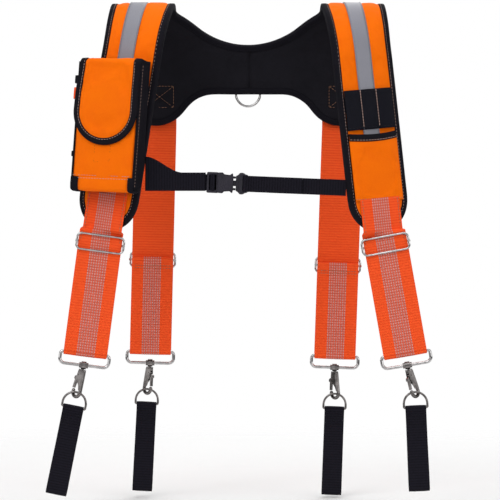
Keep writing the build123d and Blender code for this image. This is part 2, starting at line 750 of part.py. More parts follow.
def build_hook_body(name, hook):
    """Hook body: collar round the stem, shoulder with the gate's rivet, and the bend."""
    face = front_view(hook)
    with BuildPart() as shoulder:
        with BuildSketch(front_view(hook, SHOULDER_HALF)):
            with BuildLine():
                Polyline(SHOULDER, close=True)
            make_face()
        extrude(amount=2 * SHOULDER_HALF)
        rims = shoulder.faces().sort_by(Axis((0, 0, 0), face.z_dir))
        chamfer(rims[0].edges() + rims[-1].edges(), SHOULDER_EDGE)
    with BuildPart() as body:
        add(shoulder.part)
        with BuildSketch(hook.offset(COLLAR_END)):
            Circle(COLLAR_R)
        extrude(amount=COLLAR_TOP - COLLAR_END)
        with BuildLine(face) as path:
            FilletPolyline(SPINE, radius=SPINE_ROUND)
            CenterArc((0, HOOK_BEND_Z), HOOK_BEND, 180, 180)
            Line((HOOK_BEND, HOOK_BEND_Z), (HOOK_BEND, HOOK_BEND_Z + TIP_RISE))
        with BuildSketch(Plane(origin=path.wires()[0] @ 0, z_dir=path.wires()[0] % 0)):
            Circle(HOOK_WIRE)
        sweep()
        with Locations(face.from_local_coords((HOOK_BEND, HOOK_BEND_Z + TIP_RISE, 0))):
            Sphere(HOOK_WIRE)
        with BuildSketch(hook.offset(POCKET_LOW)):
            Circle(STEM_R + HEAD_CLEAR)
        extrude(amount=-POCKET_LOW, mode=Mode.SUBTRACT)
        with BuildSketch(hook.offset(POCKET_LOW)):
            Circle(HEAD_R + HEAD_CLEAR)
        extrude(amount=COLLAR_END - POCKET_LOW, mode=Mode.SUBTRACT)
        with BuildSketch(front_view(hook, GATE_SLOT_HALF)):
            with BuildLine():
                Polyline(GATE_SLOT, close=True)
            make_face()
        extrude(amount=2 * GATE_SLOT_HALF, mode=Mode.SUBTRACT)
        with BuildSketch(front_view(hook, PIVOT_HALF)):
            with Locations(PIVOT):
                Circle(PIVOT_R)
        extrude(amount=2 * PIVOT_HALF)
    save(body, f"hook_body_{name}")


def build_hook_gate(name, hook):
    """Sprung gate on its rivet, with a thumb nub."""
    with BuildPart() as gate:
        with BuildSketch(front_view(hook, GATE_HALF)):
            with Locations(PIVOT):
                Circle(GATE_R)
            with BuildLine():
                Polyline(GATE, close=True)
            make_face()
            with Locations(PIVOT):
                Circle(PIVOT_R + PIVOT_CLEAR, mode=Mode.SUBTRACT)
        extrude(amount=2 * GATE_HALF)
    save(gate, f"hook_gate_{name}")


def loop_frame(leg, frame, length):
    """Frame of the belt ring and loop, its origin where the ring hangs in the hook."""
    hook = hook_frame(leg, frame, length)
    return leaning(hook.origin - hook.z_dir * D_DROP, leg["loop_lean"])


def build_belt_loop(name, leg, frame, length):
    """D-ring and the doubled webbing loop that a tool belt threads through."""
    loop = loop_frame(leg, frame, length)
    with BuildPart() as ring:
        add(d_ring(front_view(loop), D_HALF, D_BAR_Z, D_WIRE))
    save(ring, f"belt_ring_{name}")
    head = D_WIRE + WRAP_GAP + LOOP_T
    low = D_BAR_Z - leg["loop"] + LOOP_GAP / 2 + LOOP_T
    neck = D_BAR_Z - LOOP_SEWN
    with BuildPart() as webbing:
        with BuildSketch(side_view(loop, -LOOP_W / 2)):
            with Locations((0, D_BAR_Z)):
                Circle(head)
            with BuildLine():
                Polyline((-LOOP_T, D_BAR_Z), (LOOP_T, D_BAR_Z), (LOOP_T, neck),
                         (LOOP_GAP / 2 + LOOP_T, low), (-LOOP_GAP / 2 - LOOP_T, low),
                         (-LOOP_T, neck), close=True)
            make_face()
            with Locations((0, low)):
                Circle(LOOP_GAP / 2 + LOOP_T)
                Circle(LOOP_GAP / 2, mode=Mode.SUBTRACT)
            with BuildLine():
                Polyline((0, neck - 1), (LOOP_GAP / 2, low), (-LOOP_GAP / 2, low), close=True)
            make_face(mode=Mode.SUBTRACT)
            with Locations((0, D_BAR_Z)):
                Circle(D_WIRE + WRAP_GAP, mode=Mode.SUBTRACT)
        extrude(amount=LOOP_W)
    save(webbing, f"belt_loop_{name}")


def build_leg(name, leg):
    """Everything below the hinge of one leg."""
    frame, length = leg_frame(leg)
    build_straps(name, leg, frame, length)
    build_adjuster(name, leg, frame)
    build_ring(name, frame, length)
    hook = hook_frame(leg, frame, length)
    build_hook_eye(name, hook, frame.x_dir)
    build_hook_body(name, hook)
    build_hook_gate(name, hook)
    build_belt_loop(name, leg, frame, length)


build_yoke()
build_anchors()
build_back_ring()
build_pouch()
build_tool_side()
build_chest()
for leg_name, leg_sizes in LEGS.items():
    build_leg(leg_name, leg_sizes)
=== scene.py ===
"""Looks of a pair of padded tool belt braces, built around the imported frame.

Lengths are in metres, in the frame's own axes: +Z up, +X to the right of someone who faces
the wearer, +Y from the wearer's front to the back. The yoke is laid out flat first: across runs from
the spine, along runs up the back, over the shoulder and down the front pad.
"""

import json
import math

import bpy
import numpy as np
from mathutils import Matrix, Quaternion, Vector, noise


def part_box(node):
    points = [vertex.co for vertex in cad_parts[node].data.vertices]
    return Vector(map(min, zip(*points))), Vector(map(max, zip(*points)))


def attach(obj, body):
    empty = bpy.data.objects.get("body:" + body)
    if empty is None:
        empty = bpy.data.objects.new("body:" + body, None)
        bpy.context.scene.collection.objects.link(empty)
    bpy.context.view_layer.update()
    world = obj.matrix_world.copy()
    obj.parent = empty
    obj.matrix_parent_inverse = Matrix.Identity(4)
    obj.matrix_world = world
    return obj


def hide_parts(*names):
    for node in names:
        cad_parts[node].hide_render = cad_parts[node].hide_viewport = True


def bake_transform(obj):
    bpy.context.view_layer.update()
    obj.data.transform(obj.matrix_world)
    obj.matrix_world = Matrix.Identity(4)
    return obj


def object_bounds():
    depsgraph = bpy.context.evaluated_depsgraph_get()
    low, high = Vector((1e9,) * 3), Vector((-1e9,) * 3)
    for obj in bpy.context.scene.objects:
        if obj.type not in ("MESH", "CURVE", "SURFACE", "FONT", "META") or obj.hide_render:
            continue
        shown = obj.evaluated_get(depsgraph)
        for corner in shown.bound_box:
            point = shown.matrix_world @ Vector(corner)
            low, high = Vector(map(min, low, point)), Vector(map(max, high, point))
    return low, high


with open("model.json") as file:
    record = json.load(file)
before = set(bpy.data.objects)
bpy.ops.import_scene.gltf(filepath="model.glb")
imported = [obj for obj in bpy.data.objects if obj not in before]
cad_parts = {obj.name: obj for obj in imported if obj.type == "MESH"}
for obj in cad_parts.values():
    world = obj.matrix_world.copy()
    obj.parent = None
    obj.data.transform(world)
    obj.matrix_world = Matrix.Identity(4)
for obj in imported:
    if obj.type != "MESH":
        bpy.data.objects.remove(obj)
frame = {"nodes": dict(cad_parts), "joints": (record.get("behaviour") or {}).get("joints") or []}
CAD_BOX = [list(corner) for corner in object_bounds()]
JOINTS = {joint["name"]: joint for joint in frame["joints"]}

# ---- Driving dimensions -------------------------------------------------------------

MM = 0.001
X_DIR = Vector((1, 0, 0))
Y_DIR = Vector((0, 1, 0))
Z_DIR = Vector((0, 0, 1))

# Yoke, as a flat pattern. The spine's seam, each tape's shift outwards and the spread of each
# front pad follow the photograph, where the two sides differ a little
PAD_T = 8.3 * MM
PAD_W = 74 * MM
PAD_STRAIGHT = 164 * MM
ARCH_R = 64 * MM
ARCH_Z = 1 * MM
APEX_X = 124 * MM
PAD_YAW = math.radians(23)
SPREAD = {-1: 10 * MM, 1: 7 * MM}
ARCH_END = ARCH_Z + math.pi * ARCH_R
PAD_END = ARCH_END + PAD_STRAIGHT + PAD_W / 2
SEAM_X = 2 * MM
GRID = 3 * MM
BINDING_LIP = 6.7 * MM
TAPE_HALF = 10.3 * MM
TAPE_OUT = {-1: 4.6 * MM, 1: -0.9 * MM}

# Webbing
WEB_W = 50.6 * MM
WEB_T = 1.5 * MM
RIB_PITCH = 3.1 * MM
ANCHOR_H = 9.3 * MM
LEGS = ("front_left", "front_right", "back_left", "back_right")

# One stitch: its length, width and height
STITCH = (2.5 * MM, 0.5 * MM, 0.5 * MM)

UV_NAME = "weave"


# ---- Mesh tools ---------------------------------------------------------------------

class Mesh:
    """Points and faces collected for one piece, with a weave coordinate at each corner."""

    def __init__(self):
        self.points = []
        self.faces = []
        self.uvs = []
        self.slots = []

    def face(self, corners, uvs=None, slot=0):
        """Add one face by its point numbers."""
        self.faces.append(corners)
        self.uvs.append(uvs or [(0.0, 0.0)] * len(corners))
        self.slots.append(slot)

    def rings(self, rings, around, along, closed=False, slot=0):
        """Skin a run of equal rings. around and along give the weave coordinates."""
        first = len(self.points)
        count = len(rings[0])
        for ring in rings:
            self.points.extend(ring)
        runs = len(rings) if closed else len(rings) - 1
        for i in range(runs):
            j = (i + 1) % len(rings)
            v0, v1 = along[i], along[i + 1] if i + 1 < len(along) else 2 * along[-1] - along[-2]
            for k in range(count):
                m = (k + 1) % count
                corners = (first + i * count + k, first + i * count + m,
                           first + j * count + m, first + j * count + k)
                u0, u1 = around[k], around[k + 1]
                self.face(corners, [(u0, v0), (u1, v0), (u1, v1), (u0, v1)], slot)
        if not closed:
            last = first + (len(rings) - 1) * count
            self.face(tuple(range(first + count - 1, first - 1, -1)), slot=slot)
            self.face(tuple(range(last, last + count)), slot=slot)

    def slab(self, outer, inner, uvs, slot=0):
        """Closed sheet between two equal grids of points."""
        first = len(self.points)
        rows, columns = len(outer), len(outer[0])
        for grid in (outer, inner):
            for row in grid:
                self.points.extend(row)
        back = first + rows * columns

        def quad(base, i, j, flip):
            keys = [(i, j), (i, j + 1), (i + 1, j + 1), (i + 1, j)]
            if flip:
                keys.reverse()
            self.face(tuple(base + a * columns + b for a, b in keys), [uvs[a][b] for a, b in keys], slot)

        for i in range(rows - 1):
            for j in range(columns - 1):
                quad(first, i, j, False)
                quad(back, i, j, True)
        rim = [(0, j) for j in range(columns)] + [(i, columns - 1) for i in range(1, rows)]
        rim += [(rows - 1, j) for j in range(columns - 2, -1, -1)] + [(i, 0) for i in range(rows - 2, 0, -1)]
        for a, b in zip(rim, rim[1:] + rim[:1]):
            at = [first + a[0] * columns + a[1], first + b[0] * columns + b[1]]
            self.face((at[1], at[0], at[0] - first + back, at[1] - first + back),
                      [uvs[b[0]][b[1]], uvs[a[0]][a[1]], uvs[a[0]][a[1]], uvs[b[0]][b[1]]], slot)

    def grain(self, centre, along, normal, size, slot=0):
        """Small raised lozenge, such as one stitch of thread: size is (length, width, height)."""
        length, width, height = size
        side = along.cross(normal).normalized()
        first = len(self.points)
        for lift, shrink in ((-0.4, 1.0), (0.6, 0.62)):
            for a, b in ((-1, -1), (1, -1), (1, 1), (-1, 1)):
                self.points.append(centre + along * (a * length / 2 * shrink)
                                   + side * (b * width / 2 * shrink) + normal * (lift * height))
        self.face(tuple(first + k for k in (3, 2, 1, 0)), slot=slot)
        self.face(tuple(first + k for k in (4, 5, 6, 7)), slot=slot)
        for k in range(4):
            m = (k + 1) % 4
            self.face((first + k, first + m, first + m + 4, first + k + 4), slot=slot)

    def build(self, name, materials, body=None, slot=None, flat=False):
        """Make the object. body is the CAD body it rides on, and slot is not used."""
        mesh = bpy.data.meshes.new(name)
        mesh.from_pydata([tuple(p) for p in self.points], [], self.faces)
        layer = mesh.uv_layers.new(name=UV_NAME)
        flat_uvs = [c for corners in self.uvs for uv in corners for c in uv]
        layer.data.foreach_set("uv", flat_uvs)
        for material in materials:
            mesh.materials.append(material)
        mesh.polygons.foreach_set("material_index", self.slots)
        mesh.polygons.foreach_set("use_smooth", [not flat] * len(self.faces))
        mesh.update()
        piece = bpy.data.objects.new(name, mesh)
        bpy.context.scene.collection.objects.link(piece)
        if body:
            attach(piece, body)
        return piece


def sheet_grid(rows, columns, at):
    """Outer points, inner points and weave coordinates of a sheet, from at(row, column)."""
    grid = [[at(i, j) for j in range(columns + 1)] for i in range(rows + 1)]
    return [[[place[k] for place in row] for row in grid] for k in range(3)]


def grid_cells(place, columns, rows, outline, margin):
    """Signed distance of grid places inside an outline, and the cells wholly within a margin."""
    keys = list(place)
    gaps, inside = edge_distance([place[k] for k in keys], outline)
    reach = {k: (d if ok else -d) for k, d, ok in zip(keys, gaps, inside)}
    cells = [(i, j) for i in range(columns) for j in range(rows)
             if all(reach[i + a, j + b] > margin for a in (0, 1) for b in (0, 1))]
    return reach, cells


def cell_slab(mesh, place, cells, point, flipped, slots=(0, 0)):
    """Closed slab on grid cells: point(key, layer) gives each corner of its two layers."""
    number = {}
    for layer in (0, 1):
        for i, j in cells:
            for a, b in ((0, 0), (1, 0), (1, 1), (0, 1)):
                key = (i + a, j + b, layer)
                if key not in number:
                    number[key] = len(mesh.points)
                    mesh.points.append(point(key[:2], layer))
    borders = {}
    for i, j in cells:
        square = [(i, j), (i + 1, j), (i + 1, j + 1), (i, j + 1)]
        for layer in (0, 1):
            order = square[::-1] if layer == flipped else square
            mesh.face(tuple(number[k + (layer,)] for k in order), [place[k] for k in order], slots[layer])
        for a, b in zip(square, square[1:] + square[:1]):
            borders[a, b] = (b, a) in borders
            if borders[a, b]:
                borders[b, a] = True
    for (a, b), shared in borders.items():
        if not shared:
            mesh.face((number[a + (0,)], number[b + (0,)], number[b + (1,)], number[a + (1,)]),
                      [place[a], place[b], place[b], place[a]])


def girth(profile):
    """How far round a closed profile each of its points lies, with the whole way last."""
    sides = [math.dist(a, b) for a, b in zip(profile, profile[1:] + profile[:1])]
    return np.concatenate([[0], np.cumsum(sides)])


def stitched_box(mesh, corners, pitch, place, run, size, slot=0, crossed=True):
    """Rows of thread round a box. place(x, z) gives each stitch's (centre, normal) pairs."""
    rows = list(zip(corners, corners[1:] + corners[:1]))
    if crossed:
        rows += [(corners[0], corners[2]), (corners[1], corners[3])]
    for (x0, z0), (x1, z1) in rows:
        count = max(1, int(math.dist((x0, z0), (x1, z1)) / pitch))
        along = run(x1 - x0, z1 - z0).normalized()
        for k in range(count):
            share = (k + 0.5) / count
            for centre, normal in place(x0 + (x1 - x0) * share, z0 + (z1 - z0) * share):
                mesh.grain(centre, along, normal, size, slot)


def recalculate(piece):
    """Point every face of a closed piece outwards."""
    bpy.context.view_layer.objects.active = piece
    piece.select_set(True)
    bpy.ops.object.mode_set(mode="EDIT")
    bpy.ops.mesh.select_all(action="SELECT")
    bpy.ops.mesh.normals_make_consistent(inside=False)
    bpy.ops.object.mode_set(mode="OBJECT")
    piece.select_set(False)


def smooth_by_angle(piece, degrees):
    """Smooth shading that stays sharp where faces meet at more than this angle."""
    piece.data.polygons.foreach_set("use_smooth", [True] * len(piece.data.polygons))
    bpy.context.view_layer.objects.active = piece
    piece.select_set(True)
    bpy.ops.object.shade_smooth_by_angle(angle=math.radians(degrees))
    piece.select_set(False)


def distances(points):
    """Distance from the first of a run of points to each."""
    total = [0.0]
    for a, b in zip(points, points[1:]):
        total.append(total[-1] + (b - a).length)
    return total


def resample(points, step, closed=False):
    """Evenly spaced copies of a polyline's points, as a numpy array."""
    line = np.array(points, float)
    if closed:
        line = np.vstack([line, line[:1]])
    gaps = np.hypot(*(line[1:] - line[:-1]).T) if line.shape[1] == 2 else \
        np.linalg.norm(line[1:] - line[:-1], axis=1)
    reach = np.concatenate([[0], np.cumsum(gaps)])
    count = max(2, int(round(reach[-1] / step)))
    at = np.linspace(0, reach[-1], count + 1)
    even = np.stack([np.interp(at, reach, line[:, k]) for k in range(line.shape[1])], 1)
    return even[:-1] if closed else even


def soften(line, reach, closed=False):
    """Moving average of a polyline, which rounds its corners."""
    if closed:
        padded = np.vstack([line[-reach:], line, line[:reach]])
    else:
        padded = np.vstack([2 * line[0] - line[reach:0:-1], line, 2 * line[-1] - line[-2:-reach - 2:-1]])
    window = np.hanning(2 * reach + 3)[1:-1]
    window /= window.sum()
    return np.stack([np.convolve(padded[:, k], window, mode="valid")
                     for k in range(line.shape[1])], 1)


def ease(value):
    """Smooth step from 0 to 1."""
    value = min(1.0, max(0.0, value))
    return value * value * (3 - 2 * value)


# ---- Materials ----------------------------------------------------------------------

class Shader:
    """A material's node tree, with short ways to add and join nodes."""

    def __init__(self, name, metallic=0.0, sheen=0.0, roughness=0.6, specular=0.5):
        self.material = bpy.data.materials.new(name)
        self.material.use_nodes = True
        self.tree = self.material.node_tree
        self.bsdf = self.tree.nodes["Principled BSDF"]
        self.bsdf.inputs["Metallic"].default_value = metallic
        self.bsdf.inputs["Roughness"].default_value = roughness
        self.bsdf.inputs["Specular IOR Level"].default_value = specular
        self.bsdf.inputs["Sheen Weight"].default_value = sheen
        self.bsdf.inputs["Sheen Roughness"].default_value = 0.45

    def node(self, kind, inputs=None, **settings):
        """Add a node, set its properties, and join or set its inputs."""
        node = self.tree.nodes.new(kind)
        for key, value in settings.items():
            setattr(node, key, value)
        for key, value in (inputs or {}).items():
            if isinstance(value, bpy.types.NodeSocket):
                self.tree.links.new(value, node.inputs[key])
            else:
                node.inputs[key].default_value = value
        return node

    def link(self, value, name):
        """Join a value to one of the shader's own sockets."""
        self.tree.links.new(value, self.bsdf.inputs[name])

    def math(self, operation, a, b=0.0):
        """Arithmetic on two values."""
        return self.node("ShaderNodeMath", {0: a, 1: b}, operation=operation).outputs[0]

    def noise(self, scale, detail=3.0, vector=None, roughness=0.5):
        """Noise at a scale per metre."""
        inputs = {"Scale": scale, "Detail": detail, "Roughness": roughness}
        if vector is not None:
            inputs["Vector"] = vector
        else:
            inputs["Vector"] = self.node("ShaderNodeTexCoord").outputs["Object"]
        return self.node("ShaderNodeTexNoise", inputs).outputs["Fac"]

    def ramp(self, value, stops):
        """Colour ramp with (place, colour) stops."""
        node = self.node("ShaderNodeValToRGB", {"Fac": value})
        node.color_ramp.elements[0].position = stops[0][0]
        node.color_ramp.elements[0].color = (*stops[0][1], 1)
        node.color_ramp.elements[1].position = stops[-1][0]
        node.color_ramp.elements[1].color = (*stops[-1][1], 1)
        for place, colour in stops[1:-1]:
            node.color_ramp.elements.new(place).color = (*colour, 1)
        return node.outputs["Color"]

    def range(self, value, low, high):
        """Map 0..1 to low..high."""
        return self.node("ShaderNodeMapRange", {"Value": value, "To Min": low, "To Max": high}).outputs[0]

    def weave(self, across, along, turn=0.0):
        """Over-and-under pattern of threads on the weave coordinates: 0 in gaps, 1 on threads."""
        uv = self.node("ShaderNodeUVMap", uv_map=UV_NAME).outputs["UV"]
        placed = self.node("ShaderNodeMapping", {"Vector": uv, "Rotation": (0, 0, turn)}).outputs[0]
        parts = self.node("ShaderNodeSeparateXYZ", {0: placed})
        waves = []
        for output, pitch in ((parts.outputs["X"], across), (parts.outputs["Y"], along)):
            phase = self.math("MULTIPLY", output, math.pi / pitch)
            waves.append(self.math("SINE", phase))
        product = self.math("MULTIPLY", waves[0], waves[1])
        size = self.math("ABSOLUTE", product)
        return self.math("POWER", size, 0.6)

    def bump(self, height, distance, strength=1.0, normal=None):
        """Bump from a height, joined to the shader."""
        inputs = {"Height": height, "Distance": distance, "Strength": strength}
        if normal is not None:
            inputs["Normal"] = normal
        result = self.node("ShaderNodeBump", inputs).outputs["Normal"]
        self.link(result, "Normal")
        return result


def cloth_material(name, dark, light, thread, sheen=0.0, roughness=0.8, bump=0.12 * MM,
                   turn=0.0, specular=0.07):
    """Woven cloth: threads of one colour with darker gaps, soft mottling and a woven bump."""
    shade = Shader(name, sheen=sheen, roughness=roughness, specular=specular)
    weave = shade.weave(thread[0], thread[1], turn)
    mottle = shade.noise(38, 4)
    fine = shade.noise(420, 2)
    mixed = shade.math("ADD", shade.math("MULTIPLY", weave, 0.55), shade.math("MULTIPLY", mottle, 0.35))
    mixed = shade.math("ADD", mixed, shade.math("MULTIPLY", fine, 0.22))
    shade.link(shade.ramp(mixed, [(0.12, dark), (0.75, light)]), "Base Color")
    shade.link(shade.range(mottle, roughness - 0.08, roughness + 0.1), "Roughness")
    shade.bump(shade.math("ADD", weave, shade.math("MULTIPLY", fine, 0.4)), bump)
    return shade.material


def webbing_material(name, dark, light, band):
    """Ribbed webbing with painted shade darkening the dips between picks, and a faded middle of half-width
    band.
    """
    shade = Shader(name, roughness=0.75, specular=0.07)
    weave = shade.weave(0.8 * MM, 0.7 * MM)
    fine = shade.noise(420, 2)
    uv = shade.node("ShaderNodeUVMap", uv_map=UV_NAME).outputs["UV"]
    parts = shade.node("ShaderNodeSeparateXYZ", {0: uv})
    phase = shade.math("MULTIPLY", parts.outputs["Y"], math.pi / RIB_PITCH)
    # Rib height, 0 between ribs and 1 on each rib: it drives the bump, and in the colour it is painted shade
    # between the ribs
    rib_height_and_shade = shade.math("POWER", shade.math("ABSOLUTE", shade.math("SINE", phase)), 0.5)
    mixed = shade.math("ADD", shade.math("MULTIPLY", weave, 0.22), shade.math("MULTIPLY", rib_height_and_shade, 0.55))
    mixed = shade.math("ADD", mixed, shade.math("MULTIPLY", fine, 0.3))
    # Painted shade: the ramp darkens the colour where the rib height dips between ribs
    colour = shade.ramp(mixed, [(0.15, dark), (0.75, light)])
    if band:
        offset = shade.math("ABSOLUTE", parts.outputs["X"])
        inside = shade.math("LESS_THAN", offset, band)
        faded = shade.ramp(mixed, [(0.15, (0.52, 0.065, 0.036)), (0.75, (0.78, 0.155, 0.095))])
        mix = shade.node("ShaderNodeMix", data_type="RGBA")
        shade.tree.links.new(inside, mix.inputs[0])
        shade.tree.links.new(colour, mix.inputs[6])
        shade.tree.links.new(faded, mix.inputs[7])
        colour = mix.outputs[2]
    shade.link(colour, "Base Color")
    shade.bump(shade.math("ADD", weave, shade.math("MULTIPLY", rib_height_and_shade, 0.8)), 0.2 * MM)
    return shade.material


def metal_material(name, dark, light, roughness):
    """Nickel plating: clouded tone, fine scuffs, and worn polish."""
    shade = Shader(name, metallic=1.0, roughness=roughness, specular=0.5)
    cloud = shade.noise(160, 5)
    scuff = shade.noise(2200, 2)
    shade.link(shade.ramp(cloud, [(0.3, dark), (0.7, light)]), "Base Color")
    mixed = shade.math("ADD", shade.math("MULTIPLY", cloud, 0.6), shade.math("MULTIPLY", scuff, 0.4))
    shade.link(shade.range(mixed, roughness - 0.07, roughness + 0.12), "Roughness")
    shade.bump(shade.math("ADD", scuff, cloud), 0.02 * MM, 0.4)
    return shade.material


def plastic_material(name, dark, light, roughness):
    """Moulded plastic with a spark-eroded grain."""
    shade = Shader(name, roughness=roughness, specular=0.3)
    grain = shade.noise(3000, 2)
    cloud = shade.noise(90, 3)
    shade.link(shade.ramp(cloud, [(0.3, dark), (0.7, light)]), "Base Color")
    shade.link(shade.range(grain, roughness - 0.07, roughness + 0.12), "Roughness")
    shade.bump(grain, 0.03 * MM, 0.7)
    return shade.material


ORANGE = cloth_material("orange_polyester", (0.88, 0.105, 0.0), (1.0, 0.185, 0.0),
                        (0.55 * MM, 0.55 * MM), roughness=0.75, specular=0.09)
LINING = cloth_material("black_spacer_mesh", (0.003, 0.003, 0.004), (0.016, 0.015, 0.020),
                        (1.3 * MM, 1.3 * MM), turn=math.pi / 4, bump=0.3 * MM, roughness=0.9)
BINDING = cloth_material("black_grosgrain", (0.002, 0.002, 0.003), (0.011, 0.010, 0.015),
                         (0.5 * MM, 1.0 * MM), bump=0.2 * MM, roughness=0.8)
WEB_ORANGE = webbing_material("orange_webbing", (0.82, 0.042, 0.010), (1.0, 0.108, 0.022), 0)
WEB_STRIPED = webbing_material("striped_webbing", (0.82, 0.042, 0.010), (1.0, 0.108, 0.022), 10.6 * MM)
WEB_BLACK = webbing_material("black_webbing", (0.0006, 0.0005, 0.001), (0.011, 0.010, 0.016), 0)
ELASTIC = cloth_material("black_elastic", (0.002, 0.002, 0.004), (0.012, 0.012, 0.018),
                         (1.1 * MM, 0.5 * MM), bump=0.25 * MM, roughness=0.8)
SILVER = cloth_material("silver_reflective", (0.15, 0.15, 0.18), (0.23, 0.23, 0.27),
                        (0.9 * MM, 0.9 * MM), turn=math.pi / 4, bump=0.05 * MM, sheen=0.0,
                        roughness=0.45, specular=0.6)
YARN = cloth_material("reflective_yarn", (0.48, 0.30, 0.30), (0.80, 0.60, 0.58), (0.4 * MM, 0.4 * MM),
                      roughness=0.5, specular=0.6)
THREAD_ORANGE = cloth_material("orange_thread", (0.34, 0.16, 0.09), (0.60, 0.34, 0.22),
                               (0.3 * MM, 0.3 * MM), roughness=0.6)
THREAD_PALE = cloth_material("pale_thread", (0.50, 0.32, 0.27), (0.75, 0.52, 0.45),
                             (0.3 * MM, 0.3 * MM), roughness=0.6)
THREAD_BLACK = cloth_material("black_thread", (0.010, 0.010, 0.012), (0.035, 0.035, 0.045),
                              (0.3 * MM, 0.3 * MM), roughness=0.6)
HOOK_LOOP = cloth_material("hook_and_loop", (0.002, 0.002, 0.003), (0.012, 0.011, 0.014),
                           (0.9 * MM, 0.9 * MM), bump=0.35 * MM, roughness=0.95)
STEEL = metal_material("nickel_wire", (0.36, 0.35, 0.35), (0.62, 0.61, 0.61), 0.13)
DARK_STEEL = metal_material("gunmetal_casting", (0.10, 0.093, 0.09), (0.28, 0.26, 0.255), 0.17)
BUCKLE = plastic_material("acetal_buckle", (0.010, 0.009, 0.015), (0.020, 0.017, 0.028), 0.42)


# ---- Yoke laid out flat, and the shape it is bent to ----------------------------------

def arch_frame(side, angle):
    """Origin, across, outwards and along directions of the pad past the top of the arch."""
    spread = SPREAD[side]
    centre = Vector((side * (APEX_X + spread * (1 - math.cos(angle))),
                     -ARCH_R * (1 + math.sin(angle)),
                     ARCH_Z + ARCH_R * math.cos(angle)))
    along = Vector((side * spread * math.sin(angle), -ARCH_R * math.cos(angle),
                    -ARCH_R * math.sin(angle))).normalized()
    across = (X_DIR - along * along.x).normalized()
    across.rotate(Quaternion(along, -side * PAD_YAW * math.sin(angle) ** 2))
    return centre, across, along.cross(across), along


def yoke_frame(across, along):
    """Point on the yoke's inner face, with the across, outwards and along directions there."""
    side = 1 if across > 0 else -1
    if along < ARCH_Z:
        return Vector((across, 0, along)), X_DIR, Y_DIR, Z_DIR
    turn = (along - ARCH_Z) / ARCH_R
    if turn < math.pi / 2:
        out = Vector((0, math.cos(turn), math.sin(turn)))
        point = Vector((across, ARCH_R * (math.cos(turn) - 1), ARCH_Z + ARCH_R * math.sin(turn)))
        return point, X_DIR, out, Vector((0, -math.sin(turn), math.cos(turn)))
    angle = min(turn - math.pi / 2, math.pi / 2)
    centre, wide, out, down = arch_frame(side, angle)
    past = max(0.0, along - ARCH_END)
    return centre + wide * (across - side * APEX_X) + down * past, wide, out, down


def yoke_point(across, along, height):
    """Point at a height above the yoke's inner face."""
    point, _, out, _ = yoke_frame(across, along)
    return point + out * height


def bent(height):
    """How far along the flat yoke a place at this height above the origin is."""
    if height < ARCH_Z:
        return height
    return ARCH_Z + ARCH_R * math.asin(min(1.0, (height - ARCH_Z) / (ARCH_R + PAD_T / 2)))


def arc_run(start, heading, radius, turn, steps=16):
    """Points of an arc that leaves start along heading (degrees) and turns by turn."""
    sign = 1 if turn > 0 else -1
    normal = math.radians(heading + 90 * sign)
    centre = (start[0] + radius * math.cos(normal), start[1] + radius * math.sin(normal))
    points = []
    for k in range(steps + 1):
        at = math.radians(heading - 90 * sign + turn * k / steps)
        points.append((centre[0] + radius * math.cos(at), centre[1] + radius * math.sin(at)))
    return points


def yoke_outline():
    """Closed outline of the flat yoke: neck, right pad, lower edge, left pad."""
    neck = arc_run((0, 28.9 * MM), 0, 105.9 * MM, 32.6)
    inner_x = APEX_X - PAD_W / 2
    outer_x = APEX_X + PAD_W / 2
    upper = [(x, bent(z)) for x, z in neck]
    upper.append((inner_x, bent(63 * MM)))
    upper.append((inner_x, ARCH_END + PAD_STRAIGHT))
    for k in range(1, 24):
        at = math.pi - math.pi * k / 24
        upper.append((APEX_X + PAD_W / 2 * math.cos(at), ARCH_END + PAD_STRAIGHT + PAD_W / 2 * math.sin(at)))
    upper.append((outer_x, ARCH_END + PAD_STRAIGHT))
    upper.append((outer_x, bent(60 * MM)))
    lower = [(0, -29 * MM)] + arc_run((42 * MM, -29 * MM), 0, 42.4 * MM, -56.9)
    lower += arc_run(lower[-1], -56.9, 42.4 * MM, 56.9)[1:]
    lower += arc_run(lower[-1], 0, 28 * MM, 80)[1:]
    lower = [(x, bent(z)) for x, z in lower]
    right = resample(upper + lower[::-1], 2 * MM)
    left = right[::-1] * np.array([-1, 1])
    loop = resample(np.vstack([right, left[1:-1]]), 3 * MM, closed=True)
    return soften(loop, 3, closed=True)


OUTLINE = yoke_outline()


def edge_distance(places, outline):
    """Distance of flat places from an outline, and whether each is inside."""
    places = np.array(places, float)
    start = outline
    run = np.roll(outline, -1, axis=0) - start
    best = np.full(len(places), 1e9)
    crossings = np.zeros(len(places), int)
    for (ax, ay), (rx, ry) in zip(start, run):
        dx, dy = places[:, 0] - ax, places[:, 1] - ay
        t = np.clip((dx * rx + dy * ry) / (rx * rx + ry * ry), 0, 1)
        best = np.minimum(best, np.hypot(dx - t * rx, dy - t * ry))
        straddles = (ay > places[:, 1]) != (ay + ry > places[:, 1])
        with np.errstate(divide="ignore", invalid="ignore"):
            meets = ax + rx * (places[:, 1] - ay) / ry
        crossings += straddles & (places[:, 0] < meets)
    return best, crossings % 2 == 1


def pad_heights(distance):
    """Inner and outer face heights of the pad at a distance from its edge."""
    rise = ease((distance - 3 * MM) / (14 * MM))
    middle = PAD_T / 2
    half = middle * (0.74 + 0.26 * rise)
    return middle - half, middle + half


def wander(place, scale, seed):
    """Gentle noise of a flat place, from -1 to 1."""
    return noise.noise(Vector((place[0] / scale, place[1] / scale, seed)))


